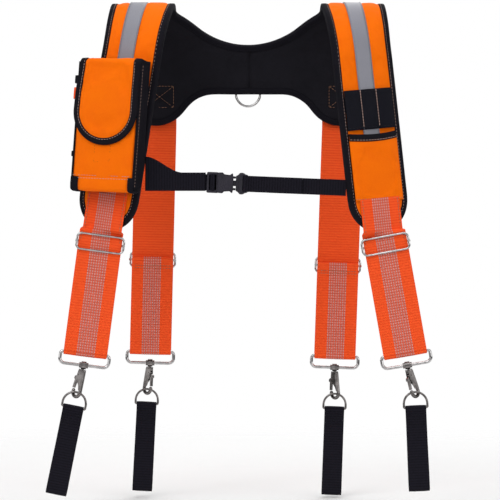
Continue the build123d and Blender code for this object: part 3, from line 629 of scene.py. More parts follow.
def puff(piece, free, pressure, cap, extra=0.03):
    """Let the free points swell under pressure as cloth a little too big for its frame."""
    group = piece.vertex_groups.new(name="held")
    group.add([i for i, loose in enumerate(free) if not loose], 1.0, "REPLACE")
    cloth = piece.modifiers.new("cloth", "CLOTH")
    cloth.settings.quality = 4
    cloth.settings.mass = 0.25
    cloth.settings.tension_stiffness = 60
    cloth.settings.compression_stiffness = 60
    cloth.settings.bending_stiffness = 1.2
    cloth.settings.vertex_group_mass = "held"
    cloth.settings.use_pressure = True
    cloth.settings.uniform_pressure_force = pressure
    cloth.settings.shrink_min = -extra
    cloth.settings.effector_weights.gravity = 0
    cloth.point_cache.frame_start = 1
    cloth.point_cache.frame_end = 20
    for step in range(1, 21):
        bpy.context.scene.frame_set(step)
    settled = piece.evaluated_get(bpy.context.evaluated_depsgraph_get()).to_mesh()
    for before, after in zip(piece.data.vertices, settled.vertices):
        move = after.co - before.co
        if move.length > cap:
            move *= cap / move.length
        before.co = before.co + move
    piece.modifiers.remove(cloth)
    piece.vertex_groups.remove(group)
    bpy.context.scene.frame_set(1)


def sewn_down(side, across, along):
    """Whether the cover is held down there by the tape, or by what is sewn on the front pad."""
    tape = abs(across - side * (APEX_X + TAPE_OUT[side])) < TAPE_HALF + 2 * MM
    return (tape and along > 0) or along > ARCH_END + 24 * MM


def yoke_slab(name, side, outer, material):
    """One skin of a yoke half with its share of the foam: a closed slab that swells a little."""
    low, high = (SEAM_X, APEX_X + PAD_W / 2) if side > 0 else (-APEX_X - PAD_W / 2, SEAM_X)
    columns = int(round((high - low) / GRID))
    rows = int(round((PAD_END + 70 * MM) / GRID))
    place = {}
    for i in range(columns + 1):
        for j in range(rows + 1):
            place[i, j] = (low + i * (high - low) / columns, -70 * MM + j * GRID)
    reach, cells = grid_cells(place, columns, rows, OUTLINE, 2.5 * MM)
    mesh = Mesh()
    free = []
    middle = PAD_T / 2

    def skin_height(key):
        across, along = place[key]
        distance = reach[key]
        seam_side = ease(abs(across - SEAM_X) / (6 * MM))
        skin = pad_heights(distance)[1 if outer else 0]
        ripple = wander((across, along), 34 * MM, 3.0 + side) * 0.5 * MM
        if not outer:
            arch = ease((along - 0.02) / 0.03) * ease((ARCH_END + 0.03 - along) / 0.05)
            fold = math.sin(along / (2.1 * MM) + 3 * wander((across, along), 60 * MM, 9.0))
            ripple -= arch * 0.35 * MM * fold
        return (middle + (skin - middle) * (0.72 + 0.28 * seam_side)
                + ripple * ease((distance - 9 * MM) / (10 * MM)) * seam_side)

    def point(key, layer):
        across, along = place[key]
        loose = layer == 1 and reach[key] > 10 * MM and abs(across - SEAM_X) > 2 * MM
        free.append(loose and not (outer and sewn_down(side, across, along)))
        height = skin_height(key) if layer else middle + (0.1 * MM if outer else -0.1 * MM)
        return yoke_point(across, along, height)

    cell_slab(mesh, place, cells, point, 1 if outer else 0)
    piece = mesh.build(name, [material])
    recalculate(piece)
    puff(piece, free, 1.2 if outer else 0.8, 1.0 * MM)
    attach(piece, "root")
    return piece


def edge_walk(outline, inset=0.0):
    """Each place along an outline moved in by inset, and its inward direction."""
    ahead = np.roll(outline, -1, axis=0) - np.roll(outline, 1, axis=0)
    ahead /= np.linalg.norm(ahead, axis=1)[:, None]
    after = np.roll(outline, -1, axis=0)
    area = (outline[:, 0] * after[:, 1] - outline[:, 1] * after[:, 0]).sum()
    inward = np.stack([-ahead[:, 1], ahead[:, 0]], 1) * (1 if area > 0 else -1)
    return outline + inward * inset, inward


def edge_binding():
    """Woven tape folded over the whole edge of the yoke, its lips sewn down on both faces."""
    inner_face, outer_face = pad_heights(0.0)
    _, lip_out = pad_heights(BINDING_LIP)
    tape = 0.9 * MM
    middle = PAD_T / 2
    half = middle - inner_face
    profile = []
    for inset, sink in ((BINDING_LIP, 0.0), (BINDING_LIP - 1.2 * MM, 0.25 * MM),
                        (4.0 * MM, 0.1 * MM), (1.8 * MM, 0)):
        rise = (lip_out - outer_face) * ease(inset / BINDING_LIP)
        edge = 0.45 if inset == BINDING_LIP else 1.0
        profile.append((inset, middle + half + rise + tape * edge - sink))
    for k in range(1, 8):
        at = math.pi / 2 - math.pi * k / 8
        profile.append((0.6 * MM - 1.5 * MM * math.cos(at), middle + (half + tape) * math.sin(at)))
    for inset, height in profile[3::-1]:
        profile.append((inset, 2 * middle - height))
    profile.append((BINDING_LIP, middle - half + 0.5 * MM))
    profile.append((BINDING_LIP, middle + half - 0.5 * MM))
    mesh = Mesh()
    _, inward = edge_walk(OUTLINE)
    rings = []
    for place, into in zip(OUTLINE, inward):
        ring = []
        swell = wander(place, 22 * MM, 5.0) * 0.25 * MM
        for inset, height in profile:
            at = place + into * (inset + swell)
            ring.append(yoke_point(at[0], at[1], height + (swell if height > middle else -swell)))
        rings.append(ring)
    around = girth(profile)
    along = [3 * MM * k for k in range(len(rings) + 1)]
    mesh.rings(rings, around, along, closed=True)
    piece = mesh.build("edge_binding_tape", [BINDING], "root", "black_binding")
    recalculate(piece)
    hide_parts("edge_binding")
    return piece


def edge_stitching():
    """Rows of thread that hold both lips of the binding."""
    mesh = Mesh()
    inset = BINDING_LIP - 1.9 * MM
    walk, _ = edge_walk(OUTLINE, inset)
    line = resample(walk, 3.6 * MM, closed=True)
    heights = pad_heights(inset)
    for here, after in zip(line, np.roll(line, -1, axis=0)):
        middle = (here + after) / 2
        for height, up in ((heights[1] + 0.85 * MM, 1), (heights[0] - 0.85 * MM, -1)):
            a = yoke_point(here[0], here[1], height)
            b = yoke_point(after[0], after[1], height)
            out = yoke_frame(middle[0], middle[1])[2] * up
            along = (b - a).normalized()
            mesh.grain((a + b) / 2, along, out, (2.3 * MM, 0.38 * MM, 0.35 * MM), 0 if up > 0 else 1)
    piece = mesh.build("edge_stitching", [THREAD_PALE, THREAD_BLACK], "root", "black_binding")
    return piece


def surface_strip(mesh, across, half_width, start, end, height, thick, step=3 * MM, columns=6, slot=0):
    """Closed flat strip that follows the yoke: its middle at across, from start to end along."""
    count = max(2, int(round((end - start) / step)))
    rings, along = [], []
    spread = [(-1 + 2 * k / columns) for k in range(columns + 1)]
    for i in range(count + 1):
        at = start + (end - start) * i / count
        ring = []
        for s in spread:
            edge = 0.25 if abs(s) == 1 else 1.0
            ring.append(yoke_point(across + s * half_width, at, height(s * half_width, at) + thick * edge))
        for s in reversed(spread):
            ring.append(yoke_point(across + s * half_width, at, height(s * half_width, at) - thick * 0.5))
        rings.append(ring)
        along.append(at)
    flat = [s * half_width for s in spread]
    around = flat + flat[::-1] + [flat[0]]
    mesh.rings(rings, around, along, slot=slot)


def reflective_tape(side):
    """Silver tape down the middle of a shoulder, sewn along both edges."""
    mesh = Mesh()
    top = PAD_T + 1.0 * MM
    end = ARCH_END + 100 * MM

    def height(offset, at):
        return top + 0.15 * MM * wander((offset, at), 30 * MM, 7.0)

    middle = side * (APEX_X + TAPE_OUT[side])
    surface_strip(mesh, middle, TAPE_HALF, 2 * MM, end, height, 0.35 * MM)
    at = 4 * MM
    while at < end - 4 * MM:
        for offset in (1.1 * MM - TAPE_HALF, TAPE_HALF - 1.1 * MM):
            point, _, out, down = yoke_frame(middle + offset, at)
            centre = point + out * (top + 0.45 * MM)
            mesh.grain(centre, down, out, (2.2 * MM, 0.35 * MM, 0.3 * MM), 1)
        at += 3.4 * MM
    word = "right" if side > 0 else "left"
    piece = mesh.build(f"shoulder_tape_{word}", [SILVER, SILVER], "root", "reflective")
    recalculate(piece)
    return piece


def build_yoke():
    """Both halves' covers and linings, the binding, its thread and the shoulder tapes."""
    for side, word in ((-1, "left"), (1, "right")):
        cover = yoke_slab(f"shoulder_cover_{word}", side, True, ORANGE)
        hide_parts(f"yoke_cover_{word}", f"yoke_foam_{word}")
        lining = yoke_slab(f"shoulder_lining_{word}", side, False, LINING)
        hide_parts("yoke_lining")
    edge_binding()
    edge_stitching()
    for side in (-1, 1):
        tape = reflective_tape(side)
        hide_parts("reflective_tape")


# ---- Webbing ------------------------------------------------------------------------

# Shares of the half width where a webbing's section has points, and its height there
SECTION = ((-1.0, 0.30), (-0.985, 0.80), (-0.95, 1.0), (-0.90, 0.86), (-0.5, 1.0), (0.0, 1.0),
           (0.5, 1.0), (0.90, 0.86), (0.95, 1.0), (0.985, 0.80), (1.0, 0.30))


def webbing(mesh, stations, width, thick, pitch=RIB_PITCH, rib=0.22 * MM, slot=0, closed=False, phase=0.0):
    """Ribbed webbing through stations of (middle, across, normal), spaced under a third of a rib."""
    middles = [s[0] for s in stations]
    reach = distances(middles)
    rings = []
    for (middle, across, normal), at in zip(stations, reach):
        wave = 0.5 - 0.5 * math.cos(2 * math.pi * (at + phase) / pitch)
        ring = []
        for sign, order in ((1, SECTION), (-1, SECTION[::-1])):
            for share, rise in order:
                ribbed = rib * wave * (1.0 if abs(share) < 0.9 else 0.5)
                height = thick / 2 * rise - rib / 2 + ribbed
                ring.append(middle + across * (share * width / 2) + normal * (sign * height))
        rings.append(ring)
    flat = [share * width / 2 for share, _ in SECTION]
    around = flat + flat[::-1] + [flat[0]]
    mesh.rings(rings, around, reach, closed=closed, slot=slot)


def yarn_rows(mesh, stations, face, half_band, rows, thick, pitch=RIB_PITCH, rib=0.22 * MM,
              slot=1, phase=0.0):
    """Reflective yarns woven down the middle: one raised dash on each rib, on one face."""
    reach = distances([s[0] for s in stations])
    at = pitch * 0.5 - phase % pitch
    if at < 0.5 * pitch:
        at += pitch
    index = 0
    while at < reach[-1] - 0.5 * pitch:
        while reach[index + 1] < at:
            index += 1
        share = (at - reach[index]) / (reach[index + 1] - reach[index])
        a, b = stations[index], stations[index + 1]
        middle = a[0].lerp(b[0], share)
        across = a[1].lerp(b[1], share).normalized()
        normal = a[2].lerp(b[2], share).normalized()
        along = (b[0] - a[0]).normalized()
        for k in range(rows):
            offset = half_band * (2 * k / (rows - 1) - 1)
            centre = middle + across * offset + normal * (face * (thick / 2 + rib * 0.5))
            mesh.grain(centre, along, normal * face, (pitch * 0.66, 0.85 * MM, 0.3 * MM), slot)
        at += pitch


def edge_seam(mesh, stations, face, offset, thick, pitch=3.4 * MM, slot=1, length=2.4 * MM):
    """Row of stitches along a webbing at an offset from its middle."""
    reach = distances([s[0] for s in stations])
    at = pitch
    index = 0
    while at < reach[-1] - pitch / 2:
        while reach[index + 1] < at:
            index += 1
        a, b = stations[index], stations[index + 1]
        along = (b[0] - a[0]).normalized()
        normal = a[2] * face
        mesh.grain(a[0] + a[1] * offset + normal * (thick / 2 + 0.1 * MM), along, normal,
                   (length, 0.55 * MM, 0.5 * MM), slot)
        at += pitch


def stations_along(points, across, normals, step=RIB_PITCH / 4):
    """Even stations along a smooth path given by points with their across and normal directions."""
    table = np.hstack([np.array([list(p) for p in points]), np.array([list(a) for a in across]),
                       np.array([list(n) for n in normals])])
    gaps = np.linalg.norm(table[1:, :3] - table[:-1, :3], axis=1)
    reach = np.concatenate([[0], np.cumsum(gaps)])
    count = max(2, int(round(reach[-1] / step)))
    at = np.linspace(0, reach[-1], count + 1)
    even = np.stack([np.interp(at, reach, table[:, k]) for k in range(9)], 1)
    result = []
    for row in even:
        wide = Vector(row[3:6]).normalized()
        normal = Vector(row[6:9])
        normal = (normal - wide * normal.dot(wide)).normalized()
        result.append((Vector(row[:3]), wide, normal))
    return result


class Leg:
    """Frame of a leg from its joints: x across the webbing, y towards the wearer, z up it."""

    def __init__(self, name):
        self.name = name
        swing = JOINTS[f"leg_swing_{name}"]
        self.x = -Vector(swing["axis"])
        self.z = -Vector(JOINTS[f"length_{name}"]["axis"])
        self.y = self.z.cross(self.x).normalized()
        self.origin = Vector(swing["pos_m"]) - self.y * (0.8 * MM)
        self.foot = Vector(JOINTS[f"hook_swing_{name}"]["pos_m"])
        self.length = (self.origin - self.foot).dot(self.z) - RING_H
        low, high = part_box(f"adjuster_{name}")
        self.drop = (self.origin - (low + high) / 2).dot(self.z)
        self.back = name.startswith("back")
        self.side = 1 if name.endswith("right") else -1

    def at(self, x, y, z):
        """Point in the row frame of a place in the leg's own frame."""
        return self.origin + self.x * x + self.y * y + self.z * z


# Foot ring and adjuster, and how deep the webbing's two layers and the bars lie in a leg
RING_H = 14 * MM
RING_IN = 4.1 * MM
MAIN_Y = 0.8 * MM
RETURN_Y = 7.4 * MM
BAR_Y = 4.9 * MM
TOP_PIECE = 12 * MM


def strap_top(leg):
    """Sewn end of the webbing on the yoke, and where it bends off the yoke at the hinge."""
    points, wide, normals = [], [], []
    if leg.back:
        hinge = leg.origin
        for k in range(24):
            z = -14 * MM + (hinge.z + 14 * MM) * k / 23
            points.append(Vector((hinge.x, ANCHOR_H + 0.1 * MM, z)))
            wide.append(leg.x)
            normals.append(-leg.y)
    else:
        start = 114 * MM if leg.side < 0 else 162 * MM
        end = 200 * MM
        for k in range(40):
            at = ARCH_END + start + (end - start) * k / 39
            point, x_dir, out, _ = yoke_frame(leg.side * APEX_X, at)
            points.append(point + out * (ANCHOR_H + 0.3 * MM))
            wide.append(x_dir)
            normals.append(out)
    for k in range(0, 8):
        points.append(leg.at(0, MAIN_Y, -(1 + k * TOP_PIECE / MM / 7) * MM))
        wide.append(leg.x)
        normals.append(-leg.y)
    table = np.hstack([np.array([list(p) for p in row]) for row in (points, wide, normals)])
    table = soften(resample(table, 1.2 * MM), 5)
    stations = stations_along(table[:, :3], table[:, 3:6], table[:, 6:9])
    mesh = Mesh()
    webbing(mesh, stations, WEB_W, WEB_T)
    yarn_rows(mesh, stations, 1, 10 * MM, 8, WEB_T)
    for offset in (-22.6 * MM, 22.6 * MM):
        edge_seam(mesh, stations, 1, offset, WEB_T, slot=2)
    web = WEB_ORANGE if leg.back else WEB_STRIPED
    piece = mesh.build(f"strap_head_{leg.name}", [web, YARN, THREAD_ORANGE])
    recalculate(piece)
    leg.at(0, 0, 7 * MM)
    leg.at(0, 0, -4.5 * MM)
    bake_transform(piece)
    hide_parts("webbing_anchors")


def strap_main(leg):
    """Webbing from the hinge down to the foot ring."""
    top = -(TOP_PIECE - 1 * MM)
    low = -leg.length
    count = 60
    points, wide, normals = [], [], []
    for k in range(count + 1):
        z = top + (low - top) * k / count
        points.append(leg.at(0, MAIN_Y, z))
        wide.append(leg.x)
        normals.append(-leg.y)
    stations = stations_along(points, wide, normals)
    mesh = Mesh()
    webbing(mesh, stations, WEB_W, WEB_T)
    yarn_rows(mesh, stations, 1, 10 * MM, 8, WEB_T)
    piece = mesh.build(f"strap_length_{leg.name}", [WEB_ORANGE if leg.back else WEB_STRIPED, YARN])
    recalculate(piece)
    leg.at(0, 0, top - 4 * MM)
    leg.at(0, 0, low + 6 * MM)
    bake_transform(piece)
    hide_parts(f"strap_main_{leg.name}")


def strap_return(leg):
    """Webbing round the foot ring, back up behind the leg and round the adjuster's bar."""
    low = -leg.length
    bar = -leg.drop
    points, normals = [], []
    steps = 20
    radius = RING_IN - MAIN_Y
    for k in range(steps + 1):
        at = math.pi + math.pi * k / steps
        y = RING_IN + radius * math.cos(at)
        points.append(leg.at(0, y, low + radius * math.sin(at)))
        normals.append(leg.y * math.cos(at) + leg.z * math.sin(at))
    rise = 40
    for k in range(1, rise + 1):
        z = low + (bar - low) * k / rise
        bow = 0.6 * MM * math.sin(math.pi * k / rise)
        points.append(leg.at(0, RETURN_Y + bow, z))
        normals.append(leg.y)
    wrap = RETURN_Y - BAR_Y
    for k in range(1, steps + 1):
        at = math.pi * k / steps
        points.append(leg.at(0, BAR_Y + wrap * math.cos(at), bar + wrap * math.sin(at)))
        normals.append(leg.y * math.cos(at) + leg.z * math.sin(at))
    for k in range(1, 6):
        points.append(leg.at(0, BAR_Y - wrap, bar - 2.5 * MM * k))
        normals.append(-leg.y)
    stations = stations_along(points, [leg.x] * len(points), normals)
    mesh = Mesh()
    webbing(mesh, stations, WEB_W - 0.6 * MM, WEB_T - 0.1 * MM)
    yarn_rows(mesh, stations[:-16], 1, 10 * MM, 8, WEB_T - 0.1 * MM)
    for z in (bar - 7 * MM, bar - 10 * MM):
        x = -21 * MM
        while x <= 21 * MM:
            centre = leg.at(x, RETURN_Y + WEB_T / 2 + 0.2 * MM, z)
            mesh.grain(centre, leg.x, leg.y, (2.4 * MM, 0.6 * MM, 0.6 * MM), 2)
            x += 3.4 * MM
    piece = mesh.build(f"strap_return_loop_{leg.name}", [WEB_STRIPED, YARN, THREAD_ORANGE])
    recalculate(piece)
    leg.at(0, 0, low + 6 * MM)
    leg.at(0, 0, bar - 12 * MM)
    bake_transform(piece)
    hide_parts(f"strap_return_{leg.name}")


# Belt loops and D-rings
LOOP_W = 24 * MM
LOOP_T = 1.5 * MM
LOOP_GAP = 9 * MM
LOOP_SEWN = 22 * MM
D_BAR_Z = -18.1 * MM
D_WIRE = 1.3 * MM
BACK_WIRE = 1.5 * MM


def belt_loop(name):
    """Doubled webbing round the belt ring's bar, sewn below it and open below that."""
    joint = JOINTS[f"loop_swing_{name}"]
    origin = Vector(joint["pos_m"])
    x_dir = Vector(joint["axis"]) * (1 if joint["axis"][0] > 0 else -1)
    z_dir = x_dir.cross(Y_DIR).normalized()
    low_corner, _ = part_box(f"belt_loop_{name}")
    depth = (origin.z - low_corner.z) / z_dir.z
    low = -depth + LOOP_GAP / 2 + LOOP_T + abs(x_dir.z) * LOOP_W / 2
    neck = D_BAR_Z - LOOP_SEWN
    head = D_WIRE + 0.35 * MM + LOOP_T / 2
    layer = LOOP_T / 2 + 0.05 * MM
    wide = (LOOP_GAP + LOOP_T) / 2
    outline = []
    for k in range(17):
        at = math.pi * k / 16
        outline.append((head * math.cos(at), D_BAR_Z + head * math.sin(at)))
    half = [(-head, D_BAR_Z - 2 * MM), (-layer, D_BAR_Z - 6 * MM), (-layer, neck)]
    spread = 14
    for k in range(1, spread + 1):
        share = k / spread
        half.append((-layer - (wide - layer) * ease(share), neck + (low - neck) * share))
    outline += half
    for k in range(1, 16):
        at = math.pi + math.pi * k / 16
        outline.append((wide * math.cos(at), low + wide * math.sin(at)))
    outline += [(-y, z) for y, z in reversed(half)]
    line = soften(resample(outline, 1.0 * MM, closed=True), 2, closed=True)
    line = np.vstack([line, line[:1]])
    points, normals = [], []
    for k, (y, z) in enumerate(line):
        ahead = line[(k + 1) % (len(line) - 1)] - line[k - 1 if k else -2]
        ahead /= np.linalg.norm(ahead)
        points.append(origin + Y_DIR * -y + z_dir * z)
        normals.append((Y_DIR * -ahead[1] - z_dir * ahead[0]).normalized())
    stations = stations_along(points, [x_dir] * len(points), normals, step=0.6 * MM)[:-1]
    mesh = Mesh()
    webbing(mesh, stations, LOOP_W, LOOP_T - 0.15 * MM, pitch=2.4 * MM, rib=0.2 * MM, closed=True)

    def place(x, z):
        centre = origin + x_dir * (x * MM) + z_dir * (D_BAR_Z + z * MM)
        lift = layer + LOOP_T / 2 + 0.1 * MM
        return [(centre + Y_DIR * (face * lift), Y_DIR * face) for face in (-1, 1)]

    stitched_box(mesh, [(-9, -8), (9, -8), (9, -20), (-9, -20)], 3, place,
                 lambda x, z: x_dir * x + z_dir * z, (2.1 * MM, 0.5 * MM, 0.5 * MM), 1)
    piece = mesh.build(f"belt_loop_webbing_{name}", [WEB_BLACK, THREAD_BLACK],
                       f"loop_{name}", "black_webbing")
    recalculate(piece)
    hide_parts(f"belt_loop_{name}")


def build_legs():
    """Webbing of the four legs."""
    for name in LEGS:
        leg = Leg(name)
        strap_top(leg)
        strap_main(leg)
        strap_return(leg)
        belt_loop(name)


def dress(node, material):
    """Give a CAD piece that stays in view its own material."""
    piece = frame["nodes"][node]
    piece.data.materials.clear()
    piece.data.materials.append(material)


def build_metal():
    """Materials of the wire and cast pieces, whose CAD shapes stay."""
    dress("back_d_ring", STEEL)
    for name in LEGS:
        for part in ("adjuster", "square_ring"):
            dress(f"{part}_{name}", STEEL)
        for part in ("hook_eye", "hook_body", "hook_gate", "belt_ring"):
            dress(f"{part}_{name}", DARK_STEEL)


# ---- Phone pouch --------------------------------------------------------------------

# POUCH_DOWN lowers the whole pouch from its place in the CAD to its place in the photograph
POUCH_W = 79 * MM
POUCH_D = 28 * MM
POUCH_LOW = -77 * MM
POUCH_HIGH = 71.5 * MM
FLAP_TOP = 74.5 * MM
POUCH_DOWN = 4 * MM
FLAP_LOW = -25.5 * MM
FLAP_HALF = 40 * MM
FLAP_Z = 30.9 * MM
CUFF_TOP = -62.5 * MM
CUFF_HALF = 30.5 * MM
CUFF_RIGHT = 33.8 * MM


class Pouch:
    """Frame of the pouch from its flap's hinge: x across, y up, z forwards from its back."""

    def __init__(self):
        joint = JOINTS["flap_open"]
        self.x = -Vector(joint["axis"])
        self.z = arch_frame(-1, math.pi / 2)[2]
        self.y = self.z.cross(self.x).normalized()
        self.origin = Vector(joint["pos_m"]) - self.y * (FLAP_TOP + POUCH_DOWN) - self.z * (0.3 * MM)

    def at(self, x, y, z):
        """Point in the row frame of a place in the pouch's own frame."""
        return self.origin + self.x * x + self.y * y + self.z * z


def rounded_ring(half_w, low_z, high_z, radius, pinch, steps=5):
    """Rounded rectangle in x and z whose two sides are drawn in by pinch."""
    ring = []
    middle = (low_z + high_z) / 2
    for sx, sz, start in ((1, 1, 0), (-1, 1, 90), (-1, -1, 180), (1, -1, 270)):
        cx = sx * (half_w - radius)
        cz = (high_z if sz > 0 else low_z) - sz * radius
        for k in range(steps + 1):
            at = math.radians(start + 90 * k / steps)
            ring.append((cx + radius * math.cos(at), cz + radius * math.sin(at)))
        if sx == sz:
            x0 = ring[-1][0]
            if sx > 0:
                ring.extend((x0 - 2 * x0 * k / 8, high_z) for k in range(1, 8))
            else:
                ring.extend((x0 - 2 * x0 * k / 8, low_z) for k in range(1, 8))
        else:
            z0 = ring[-1][1]
            z1 = 2 * middle - z0
            for k in range(1, 6):
                z = z0 + (z1 - z0) * k / 6
                ring.append((sx * half_w - sx * pinch * math.sin(math.pi * k / 6), z))
    return ring


def pouch_body(pouch):
    """Black fabric bag with soft gussets, open at the top."""
    half = POUCH_W / 2
    rings, along = [], []
    rise = 34
    for k in range(rise + 1):
        share = k / rise
        y = POUCH_LOW + (POUCH_HIGH - POUCH_LOW) * share
        corner = 1 - ease(share * 14)
        pinch = 2.2 * MM * math.sin(math.pi * min(1, share * 1.05)) + 0.5 * MM * wander((y, 0), 25 * MM, 4)
        ring = rounded_ring(half - 2.5 * MM * corner, 0.2 * MM + 1.5 * MM * corner,
                            POUCH_D - 1.4 * MM - 2 * MM * corner, 3.6 * MM, pinch)
        rings.append([pouch.at(x, y, z) for x, z in ring])
        along.append(y)
    for k in range(rise + 1):
        share = k / rise
        y = POUCH_HIGH - (POUCH_HIGH - POUCH_LOW - 2.2 * MM) * share
        pinch = 2.2 * MM * math.sin(math.pi * min(1, (1 - share) * 1.05))
        ring = rounded_ring(half - 2 * MM, 2.2 * MM, POUCH_D - 3.4 * MM, 2.4 * MM, pinch)
        rings.append([pouch.at(x, y, z) for x, z in ring])
        along.append(POUCH_HIGH + 2 * MM + (POUCH_HIGH - y))
    mesh = Mesh()
    around = [0.0]
    for (x0, z0), (x1, z1) in zip(ring, ring[1:] + ring[:1]):
        around.append(around[-1] + math.dist((x0, z0), (x1, z1)))
    mesh.rings(rings, around, along)
    piece = mesh.build("pouch_body", [BINDING], "root", "black_binding")
    recalculate(piece)
    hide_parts("phone_pouch_shell")


def pouch_front(pouch):
    """Orange front panel, softly crowned, its edges rolled back under the gusset binding."""
    half = POUCH_W / 2 - 0.9 * MM
    columns, rows = 26, 44
    free = []

    def at(i, j):
        y = CUFF_TOP - 2 * MM + (POUCH_HIGH - CUFF_TOP + 1 * MM) * i / rows
        share = -1 + 2 * j / columns
        x = half * share
        roll = ease((abs(share) - 0.9) / 0.1)
        crown = 0.5 * MM * (1 - share * share) + 0.35 * MM * wander((x, y), 24 * MM, 12.0)
        free.append(abs(share) < 0.9 and 0 < i < rows)
        return (pouch.at(x, y, POUCH_D - 0.2 * MM + crown * (1 - roll) - 2.2 * MM * roll),
                pouch.at(x * 0.985, y, POUCH_D - 1.9 * MM - 1.4 * MM * roll), (x, y))

    mesh = Mesh()
    mesh.slab(*sheet_grid(rows, columns, at))
    piece = mesh.build("pouch_front_panel", [ORANGE])
    recalculate(piece)
    puff(piece, free + [False] * len(free), 0.7, 0.9 * MM, 0.02)
    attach(piece, "root")


def pouch_trim(pouch):
    """Bottom cuff, corner bindings, gusset pipings and their rows of thread."""
    def under(x0, x1, proud, name, material, slot, columns=12):
        path = [(CUFF_TOP, POUCH_D - 0.1 * MM), (-70 * MM, POUCH_D + 0.3 * MM),
                (-74.5 * MM, POUCH_D - 0.2 * MM)]
        for k in range(1, 7):
            at = math.pi / 12 * k
            path.append((-74.5 * MM - 3 * MM * math.sin(at), POUCH_D - 3.2 * MM + 3 * MM * math.cos(at)))
        path.append((-77.5 * MM, 14 * MM))
        line = resample(path, 1.5 * MM)

        def at(k, j):
            y, z = line[k]
            ahead = line[min(k + 1, len(line) - 1)] - line[max(k - 1, 0)]
            ahead /= np.linalg.norm(ahead)
            normal = (ahead[1], -ahead[0])
            x = x0 + (x1 - x0) * j / columns
            lift = proud * (1 if 0 < j < columns else 0.3)
            return (pouch.at(x, y + normal[0] * lift, z + normal[1] * lift),
                    pouch.at(x, y - normal[0] * 0.9 * MM, z - normal[1] * 0.9 * MM), (x, -k * 1.5 * MM))

        mesh = Mesh()
        mesh.slab(*sheet_grid(len(line) - 1, columns, at))
        piece = mesh.build(name, [material], "root", slot)
        recalculate(piece)

    under(-CUFF_HALF, CUFF_RIGHT, 0.9 * MM, "pouch_cuff", ORANGE, "cover_fabric")
    half = POUCH_W / 2 + 0.3 * MM
    under(-half, 0.6 * MM - CUFF_HALF, 1.6 * MM, "pouch_corner_binding_left", BINDING, "black_binding", 6)
    under(CUFF_RIGHT - 0.6 * MM, half, 1.6 * MM, "pouch_corner_binding_right", BINDING, "black_binding", 6)
    for side, word in ((-1, "left"), (1, "right")):
        mesh = Mesh()
        rings, along = [], []
        for k in range(50):
            y = POUCH_LOW + 2 * MM + (POUCH_HIGH - POUCH_LOW - 3 * MM) * k / 49
            ring = []
            for m in range(12):
                at = 2 * math.pi * m / 12
                wide = 1.5 * MM * math.cos(at)
                deep = 3.0 * MM * math.sin(at)
                ring.append(pouch.at(side * (POUCH_W / 2 - 0.4 * MM) + wide, y, POUCH_D - 3.0 * MM + deep))
            rings.append(ring)
            along.append(y)
        mesh.rings(rings, [1.4 * MM * m for m in range(13)], along)
        for k in range(38):
            y = POUCH_LOW + 6 * MM + 3.7 * MM * k
            centre = pouch.at(side * (POUCH_W / 2 + 0.95 * MM), y, POUCH_D - 4.0 * MM)
            mesh.grain(centre, pouch.y, pouch.x * side, (2.5 * MM, 0.35 * MM, 0.35 * MM), 1)
        piece = mesh.build(f"pouch_piping_{word}", [BINDING, THREAD_PALE], "root", "black_binding")
        recalculate(piece)
    mesh = Mesh()
    x = -CUFF_HALF - 6 * MM
    while x < CUFF_HALF + 6 * MM:
        mesh.grain(pouch.at(x, CUFF_TOP + 1.7 * MM, POUCH_D + 0.35 * MM), pouch.x, pouch.z,
                   STITCH)
        mesh.grain(pouch.at(x, CUFF_TOP - 1.6 * MM, POUCH_D + 0.95 * MM), pouch.x, pouch.z,
                   STITCH)
        x += 3.5 * MM
    mesh.build("pouch_cuff_stitching", [THREAD_PALE], "root", "cover_fabric")


def pouch_loops(pouch):
    """Pen loops on the pouch's outer side: elastic above, orange webbing below it."""
    for name, y, z, width, reach, material, slot in (
            ("pen_loop_elastic", 50 * MM, 21 * MM, 9 * MM, 7.2 * MM, ELASTIC, "black_elastic"),
            ("pen_loop_orange", 34 * MM, 21 * MM, 13 * MM, 7.8 * MM, WEB_ORANGE, "orange_webbing"),
            ("pen_loop_low", -36 * MM, 20 * MM, 6 * MM, 5.6 * MM, ELASTIC, "black_elastic")):
        points, normals = [], []
        for k in range(21):
            at = math.pi * k / 20
            out = 1.2 * MM - reach * math.sin(at) ** 0.7
            points.append(pouch.at(-POUCH_W / 2 + out, y, z + 6 * MM * math.cos(at)))
            normals.append(pouch.x * -math.sin(at) + pouch.z * math.cos(at))
        stations = stations_along(points, [pouch.y] * len(points), normals, step=0.6 * MM)
        mesh = Mesh()
        webbing(mesh, stations, width, 1.1 * MM, pitch=2.0 * MM, rib=0.15 * MM)
        recalculate(mesh.build(name, [material], "root", slot))


def flap_frame(pouch, s):
    """Place down the middle of the flap, s from its sewn edge, with its outward direction."""
    bend = 6 * MM
    top = FLAP_TOP - 0.9 * MM
    flat = FLAP_Z - bend - 1.0 * MM
    arc = bend * math.pi / 2
    if s < flat:
        sag = 0.9 * MM * math.sin(math.pi * s / flat)
        return pouch.at(0, top - sag, 1.0 * MM + s), pouch.y, pouch.z
    if s < flat + arc:
        at = (s - flat) / bend
        point = pouch.at(0, top - bend + bend * math.cos(at), FLAP_Z - bend + bend * math.sin(at))
        return (point, pouch.y * math.cos(at) + pouch.z * math.sin(at),
                pouch.z * math.cos(at) - pouch.y * math.sin(at))
    down = s - flat - arc
    drop = top - bend - FLAP_LOW
    share = min(1.2, down / drop)
    bow = 1.3 * MM * math.sin(math.pi * share) - 0.3 * MM * share
    slope = (1.3 * MM * math.pi / drop) * math.cos(math.pi * share)
    out = (pouch.z + pouch.y * slope).normalized()
    return pouch.at(0, top - bend - down, FLAP_Z + bow), out, (pouch.z * slope - pouch.y).normalized()


